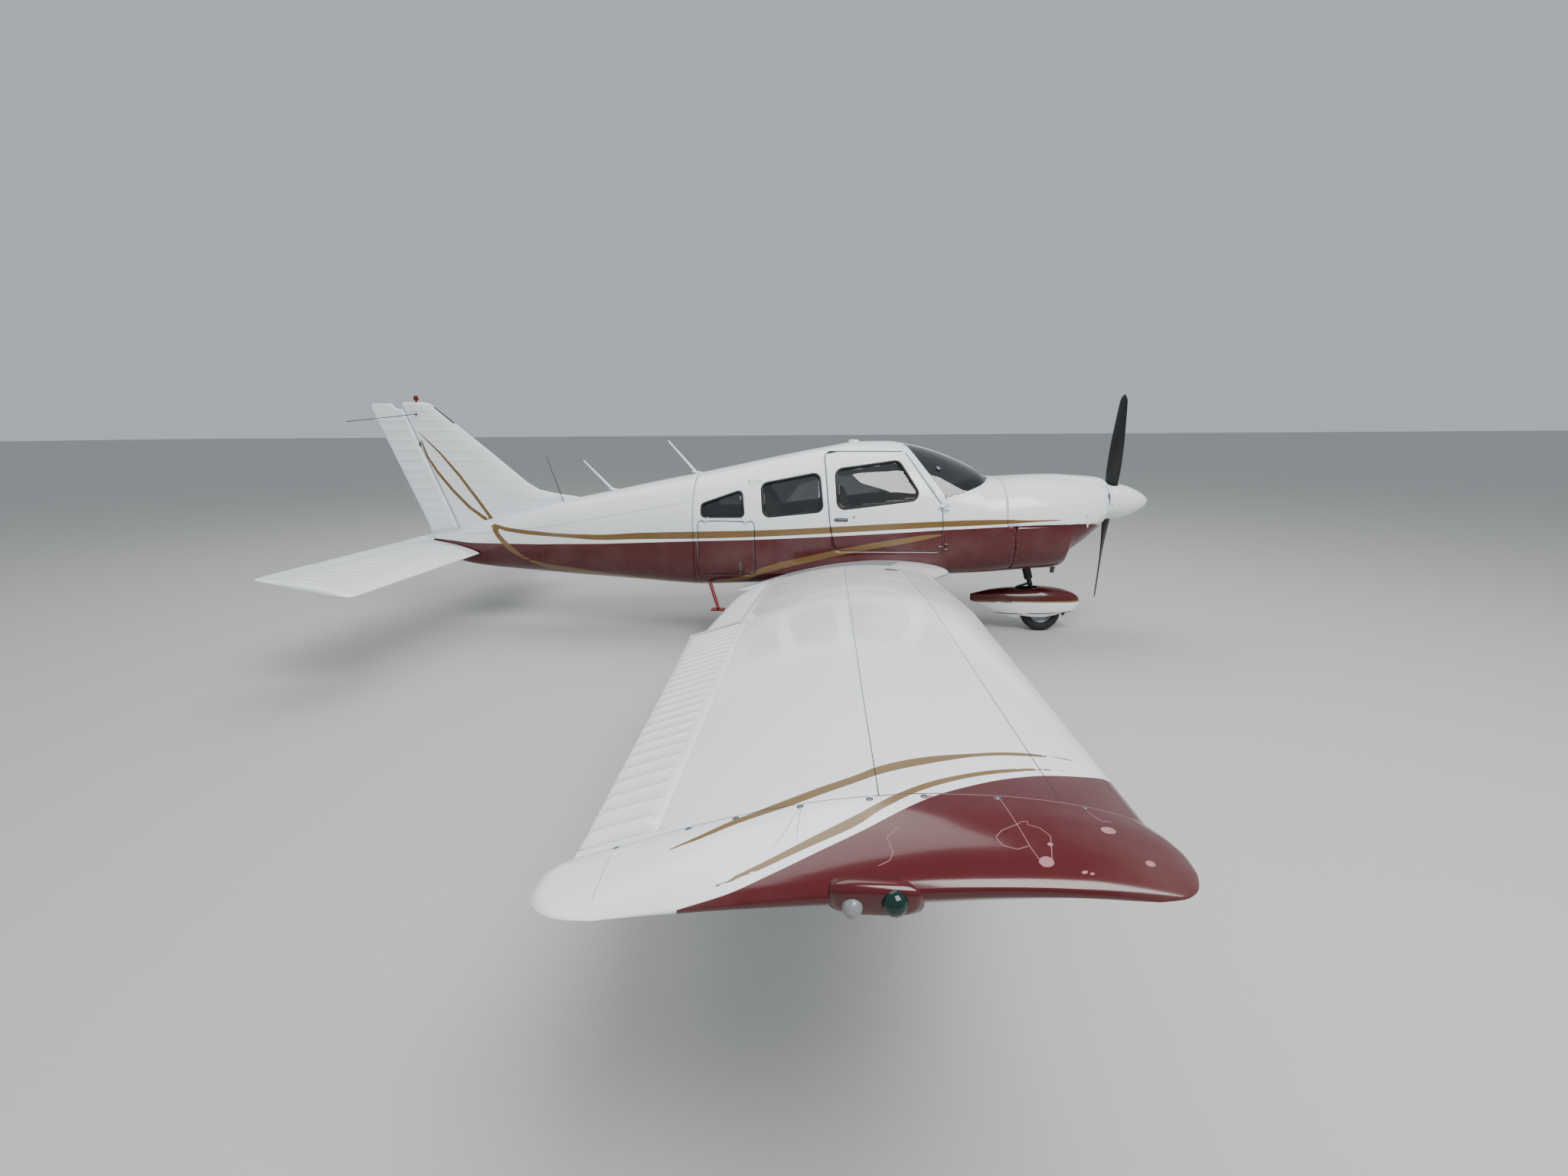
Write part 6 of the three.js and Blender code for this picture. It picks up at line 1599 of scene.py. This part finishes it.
# Small outside fittings: door and hatch hinges, handles, latches, aerial bases, fuel caps, the lamps'
# pods, the walkway on the starboard wing root, the tip's flaked paint, screws of the tail and spinner, the
# pitot mast.
def boss(centre, lengthwise, out, size, power=0.5, taper=0.84):
    """Raised pad on a surface: superellipse outlines of exponent 2 / power, of the size's length and
    width, drawn in towards a crowned top at the size's height."""
    out = np.asarray(out, float) / np.linalg.norm(out)
    lengthwise = np.asarray(lengthwise, float) - out * (np.asarray(lengthwise, float) @ out)
    lengthwise /= np.linalg.norm(lengthwise)
    turn = round_turn(32)
    u = np.sign(np.cos(turn)) * np.abs(np.cos(turn)) ** power * size[0] / 2
    v = np.sign(np.sin(turn)) * np.abs(np.sin(turn)) ** power * size[1] / 2
    flat = u[:, None] * lengthwise + v[:, None] * np.cross(out, lengthwise)
    rows = [np.asarray(centre) + flat * share * MM + out * height * size[2] * MM for share, height in
            ((0, -0.2), (1, -0.2), (1, 0.62), (0.5 + taper / 2, 0.9), (taper, 1.0), (0, 1.04))]
    return grid(np.array(rows), True)


def at_side(x, z, side=-1):
    """Place on the fuselage's side and the normal there."""
    points, normals = on_side(np.array([[WING_LE + x * MM, z * MM]]), side)
    return points[0], normals[0]


def knuckle_row(line, ats, reach, moving):
    """Hinge knuckles round a line outside the skin: the leaf's one turns between two fixed ones, each
    with a strap back to its own skin."""
    a, b = (np.array(from_wing(p)) for p in line)
    direction = (b - a) / np.linalg.norm(b - a)
    out = np.cross(direction, (1, 0, 0) if abs(direction[2]) > 0.5 else (0, 0, 1))
    out *= -np.sign(out[1]) / np.linalg.norm(out)
    away = np.cross(out, direction)
    away *= (np.sign(away[0]) if abs(direction[2]) > 0.5 else np.sign(away[2]))
    patches = []
    for at in ats:
        for low, high in (((-12, 12),) if moving else ((-30, -12.6), (12.6, 30))):
            ends = a + direction * (at + np.array([[low], [high]])) * MM
            patches.append(rod(np.linspace(ends[0], ends[1], 4), 0.0062, 14))
            way = -1 if moving else 1
            strap = (ends[0] + ends[1]) / 2 + away * way * reach / 2 * MM - out * 0.001
            patches.append(boss(strap - out * 0.012, away, out, (reach, high - low, 13), 0.25, 0.95))
    return patches


DOOR_LINE, HATCH_LINE = [(160, -577, 842), (160, -577, 1690)], [(-1466, -549, 1103), (-1986, -491, 1103)]
for word, line, ats, reach, body in (
        ("door", DOOR_LINE, (45, 395), 48, "entry_door"),
        ("hatch", HATCH_LINE, (80, 440), 24, "baggage_hatch")):
    for moving in (True, False):
        patches = knuckle_row(line, ats, reach, moving)
        coated(word + ("_leaf_hinges" if moving else "_fixed_hinges"), patches,
               body if moving else "airframe", side_scheme)
spot, out = at_side(-713, 1117)
recess = [boss(spot, (1, 0, 0), out, (118, 30, 1.2), 0.35)]
lever = [boss(spot + out * 0.001, (1, 0, 0), out, (104, 16, 9), 0.4, 0.7)]
spot, out = at_side(-605, 1143)
lever.append(boss(spot, (1, 0, 0), out, (17, 17, 4), 1.0))
build("door_handle", lever, "entry_door", plated_screw, "gear_metal")
# the handle's recess is a flat dark pad under the lever: painted shade, no hollow is cut
build("door_recess", recess, "entry_door", groove_shade, "black_plastic")
spot, out = at_side(-1600, 695)
latch = [boss(spot, (0, 0, 1), out, (88, 20, 6), 0.4),
         boss(spot - [0, 0, 0.06], (1, 0, 0), out, (15, 15, 5), 1.0)]
build("hatch_latch", latch, "baggage_hatch", plated_screw, "gear_metal")
(first, out), (last, _) = at_side(-1530, 1432), at_side(-1410, 1432)
bow = np.sin(np.linspace(0, np.pi, 13))[:, None] ** 0.5
handle = first + (last - first) * np.linspace(0, 1, 13)[:, None] + out * (bow * 0.034 - 0.003)
coated("grab_handle", [rod(handle, 0.006, 12)]
       + [boss(p, (1, 0, 0), out, (30, 18, 3)) for p in (first, last)], "airframe", bare)
patches = []
for side in (1, -1):
    spot, out = at_side(1396, 1096, side)
    patches += [boss(spot, (0, 0, 1), out, (112, 16, 8), 0.4),
                boss(spot + [0, 0, 0.05], (1, 0, 0), out, (44, 15, 10))]
coated("cowl_latches", patches, "airframe", bare)
patches = []
for station, length in ((-2048, 130), (-2862, 110)):
    spot = hull(np.array([WING_LE + station * MM]), np.array([np.pi / 2]))[0]
    patches.append(boss(spot, (1, 0, 0), (0.2, 0, 1), (length, 46, 16), 0.8, 0.4))
spot = hull(np.array([WING_LE - 0.600]), np.array([np.pi / 2]))[0]
patches.append(boss(spot, (1, 0, 0), (0, 0, 1), (96, 96, 19), 1.0, 0.72))
coated("aerial_bases", patches, "airframe", bare)
spot, out = at_side(118, 1540)
build("air_thermometer", [boss(spot, (1, 0, 0), out, (44, 44, 16), 1.0)], "airframe", plated_screw,
      "gear_metal")

# plated fuel caps in black seals
patches, rings = [], []
for side in (1, -1):
    points, normals = on_wing([(-335, 1250), (-336, 1250)], 1, side, 10)
    patches.append(boss(points[0], (1, 0, 0), normals[0], (86, 86, 3.5), 1.0))
    rings.append(boss(points[0], (1, 0, 0), normals[0], (104, 104, 1.6), 1.0))
build("fuel_caps", patches, "airframe", plated_screw, "gear_metal")
build("fuel_cap_seals", rings, "airframe", neoprene, "black_plastic")

# non-slip paint with grit, worn pale, on the starboard wing root
grit_paint = grained(surface_of("grit_filled_paint", Base_Color="#8c9094", Roughness=0.9),
                     0.0012, 0.0007, 0.05, "#6f7377")
span = np.linspace(660, 985, 14)
chord = np.linspace(0.22, 0.74, 40)[:, None]
walk = wing(np.broadcast_to(span, (40, 14)), np.broadcast_to(chord, (40, 14)), 1) + [0, 0, 0.9]
build("walkway", [grid(handed(walk, -1))], "airframe", grit_paint, "black_plastic", (),
      from_wing((-700, -800, 400)), 0.0008)

# clear glass over the strobes' flash tubes
clear_glass = grained(
    surface_of("pressed_borosilicate_glass", Base_Color="#dfe6ea", Roughness=0.04, Transmission_Weight=0.75,
               IOR=1.47), 0.006, 0.0008, 0.02)
for word, side in (("left", 1), ("right", -1)):
    spot = from_wing((-712, (TIP_Y + 222) * side, TIP_EDGE))
    coated("lamp_pod_" + word, [boss(spot, (1, 0, 0), (0, side, -0.12), (168, 66, 26), 0.62, 0.62)],
           "airframe", lambda p: (np.ones(len(p)), -np.ones(len(p))), slot="maroon_paint")
    spot = from_wing((-752, (TIP_Y + 236) * side, TIP_EDGE - 8))
    dome = [(0, 0), (0, 19), (12, 18.5), (22, 15), (29, 8), (32, 0)]
    build("strobe_lens_" + word, [lathe(spot, (-0.15, side * 0.9, -0.3), np.array(dome) * MM, 28)],
          "airframe",
          clear_glass, "white_plastic")

# grey-pink primer where the tip's red has cracked and flaked
primer = grained(surface_of("etch_primer", Base_Color="#a8787a", Roughness=0.75),
                 0.004, 0.0001, 0.08, "#94696a")
CRACKS = ([(-435, 5209), (-473, 5231), (-488, 5249), (-481, 5270), (-456, 5278), (-434, 5269)],
          [(-452, 5128), (-449, 5152), (-442, 5204), (-432, 5271), (-422, 5303)],
          [(-436, 5205), (-418, 5200), (-421, 5211), (-400, 5219), (-387, 5240), (-398, 5286), (-402, 5303),
           (-420, 5314), (-426, 5304)],
          [(-680, 5211), (-665, 5223), (-687, 5245), (-678, 5282), (-685, 5298), (-707, 5308)],
          [(-284, 5134), (-270, 5170), (-248, 5166)],
          [(-150, TIP_Y + 3), (-400, TIP_Y + 3), (-700, TIP_Y + 3)])
HAIRLINES = ([(-855, 5130), (-879, 5202), (-901, 5245)], [(-853, 5130), (-856, 5194), (-857, 5225)],
             [(-1249, 5160), (-1238, 5306)])
FLAKES = ((-412, 5303, 26, 22), (-268, 5202, 30, 22), (-226, 5284, 18, 14), (-394, 5262, 10, 9),
          (-352, 5320, 12, 6),
          (-340, 5322, 8, 5), (-596, 5126, 26, 10))
FINE = [(-0.0009, -0.0004), (-0.0006, 0.0002), (0.0006, 0.0002), (0.0009, -0.0004)]
flakes = []
for x, y, length, width in FLAKES:
    points, normals = on_wing([(x, y), (x - 1, y)], 1, -1, 10)
    flakes.append(boss(points[0], (1, 0.4, 0), normals[0], (length, width, 0.4), 0.9, 0.95))
build("tip_flaked_paint", flakes + [swept(*on_wing(line, 1, -1, 6), FINE) for line in CRACKS], "airframe",
      primer,
      "maroon_paint")
# dark hairlines along the paint's cracks: painted shade in the cracks
build("tip_hairlines", [swept(*on_wing(line, 1, -1, 8), [(a * 0.6, b) for a, b in FINE])
                        for line in HAIRLINES],
      "airframe", groove_shade, "black_plastic")

# screws of the dorsal fillet and the fin's caps, the rubber strip on its nose and a static pad on its side
FILLET = [(-4070, 1425), (-3810, 1150)]
PANEL = [(-3453, 1250), (-3457, 1190)]


def rudder_path(corners, side, pitch):
    """Side-view polyline (x, z) laid on one face of the rudder: points and normals."""
    flat = evenly(corners, pitch)
    x, z = flat[:, 0], flat[:, 1]
    x0, te, half = hinge_x(z) - 8, rudder_back(z), fin_half(z) * 0.5
    y = half + (x0 - x) / (x0 - te) * (3 - half)
    return from_wing(np.stack([x, y * side, z], -1)), np.tile([0.0, side, 0.0], (len(x), 1))


points, normals = joined([fin_path(line, side, 38)
                          for line in (FILLET, PANEL, [(-4640, 2078), (-4830, 2040)])
                          for side in (1, -1)])
build("fin_screws", [studs(points, normals, *SCREW, 8)], "airframe", plated_screw, "gear_metal", (),
      from_wing((-4300, 0, 1500)))
points, normals = joined([rudder_path([(-4900, 2020), (-5080, 1984)], side, 36) for side in (1, -1)])
build("rudder_screws", [studs(points, normals, *SCREW, 8)], "rudder_unit", plated_screw, "gear_metal", (),
      from_wing((-5000, 0, 2000)))
z = np.linspace(1955, 2108, 16)
t = np.array([0.035, 0.02, 0.01, 0.004, 0.001, 0.0])[:, None]
half = fin_point(np.broadcast_to(z, (6, 16)), np.broadcast_to(t, (6, 16)))
strip = np.concatenate([half, (half * [1, -1, 1])[::-1][1:]])
strip += np.stack([1.2 + 0 * strip[..., 0], np.sign(strip[..., 1]) * 0.5, 0 * strip[..., 0]], -1)
build("fin_nose_strip", [grid(from_wing(strip))], "airframe", neoprene, "black_plastic", (),
      from_wing((-4800, 0, 2000)), 0.0008)
points, normals = fin_path([(-4743, 1764), (-4743, 1765)], -1, 10)
build("fin_pad", [boss(points[0], (-0.35, 0, 1), normals[0], (34, 15, 8), 0.3)], "airframe", neoprene,
      "black_plastic")
lamp = [(0, 0), (6, 11), (22, 16), (44, 17), (62, 14), (74, 8), (78, 0)]
coated("tail_lamp", [lathe(from_wing((-5088, 0, 2000)), (-1, 0, 0), np.array(lamp) * MM, 24)],
       "rudder_unit", bare)

# pitot mast under the port wing
points, normals = on_wing([(-300, 3000), (-301, 3000)], -1, 1, 10)
mast = points[0] + np.array([(0, 0, 0.01), (0, 0, -0.05), (0.004, 0, -0.1), (0.02, 0, -0.118),
                             (0.06, 0, -0.12), (0.09, 0, -0.12)])
coated("pitot_mast", [rod(mast, [0.012, 0.011, 0.010, 0.009, 0.008, 0.007], 14)], "airframe", bare)

# screws that hold the spinner to its plates
turn = round_turn(12)
points = np.concatenate([spinner_surface(np.full(12, share), turn) for share in (0.045, 0.22)])
axis = leaned([(0, 0, 0)])[0]
normals = unit((points - axis) * [0, 1, 1])
build("spinner_screws", [studs(points, normals, 0.0055, 0.0018, 10)], "propeller_unit", plated_screw,
      "gear_metal",
      (), from_wing((SPINNER_BASE + 100, 0, 1225)))


# Kept CAD solids that show only in part: gear legs, engine, floor, bulkheads, panel and antennas, each given
# the finish of the real piece.

# cast iron and aluminium crankcase, grey enamel, oily
crankcase = grained(surface_of("grey_enamelled_casting", Base_Color="#5a5c60", Roughness=0.5, Metallic=0.3),
                    0.01, 0.0004)
# dark red enamel on the step's steel tube, scuffed
red_enamel = grained(
    surface_of("red_enamelled_steel_tube", Base_Color="#7d0d12", Roughness=0.35, Coat_Weight=0.3), 0.02,
    0.00005, 0.12)
# steel rods in black epoxy
black_antenna = grained(surface_of("epoxy_coated_steel_rod", Base_Color="#17181a", Roughness=0.4),
                        0.003, 0.0001)
for look, names in (
        (stoved_steel, ("nose_strut", "nose_fork", "main_leg_left", "main_leg_right")),
        (crankcase, ("engine_block",)), (cast_wheel, ("firewall",)), (loop_carpet, ("cabin_floor",)),
        (black_moulding, ("instrument_panel", "yoke_left", "yoke_right")),
        (black_antenna, ("whip_antenna", "nav_antenna_left", "nav_antenna_right")),
        (enamel_paint, ("com_antenna_front", "com_antenna_rear")),
        (lamp_glass["left"], ("beacon",)), (red_enamel, ("step_strut",))):
    for name in names:
        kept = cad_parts[name]
        kept.data.materials.clear()
        kept.data.materials.append(look)
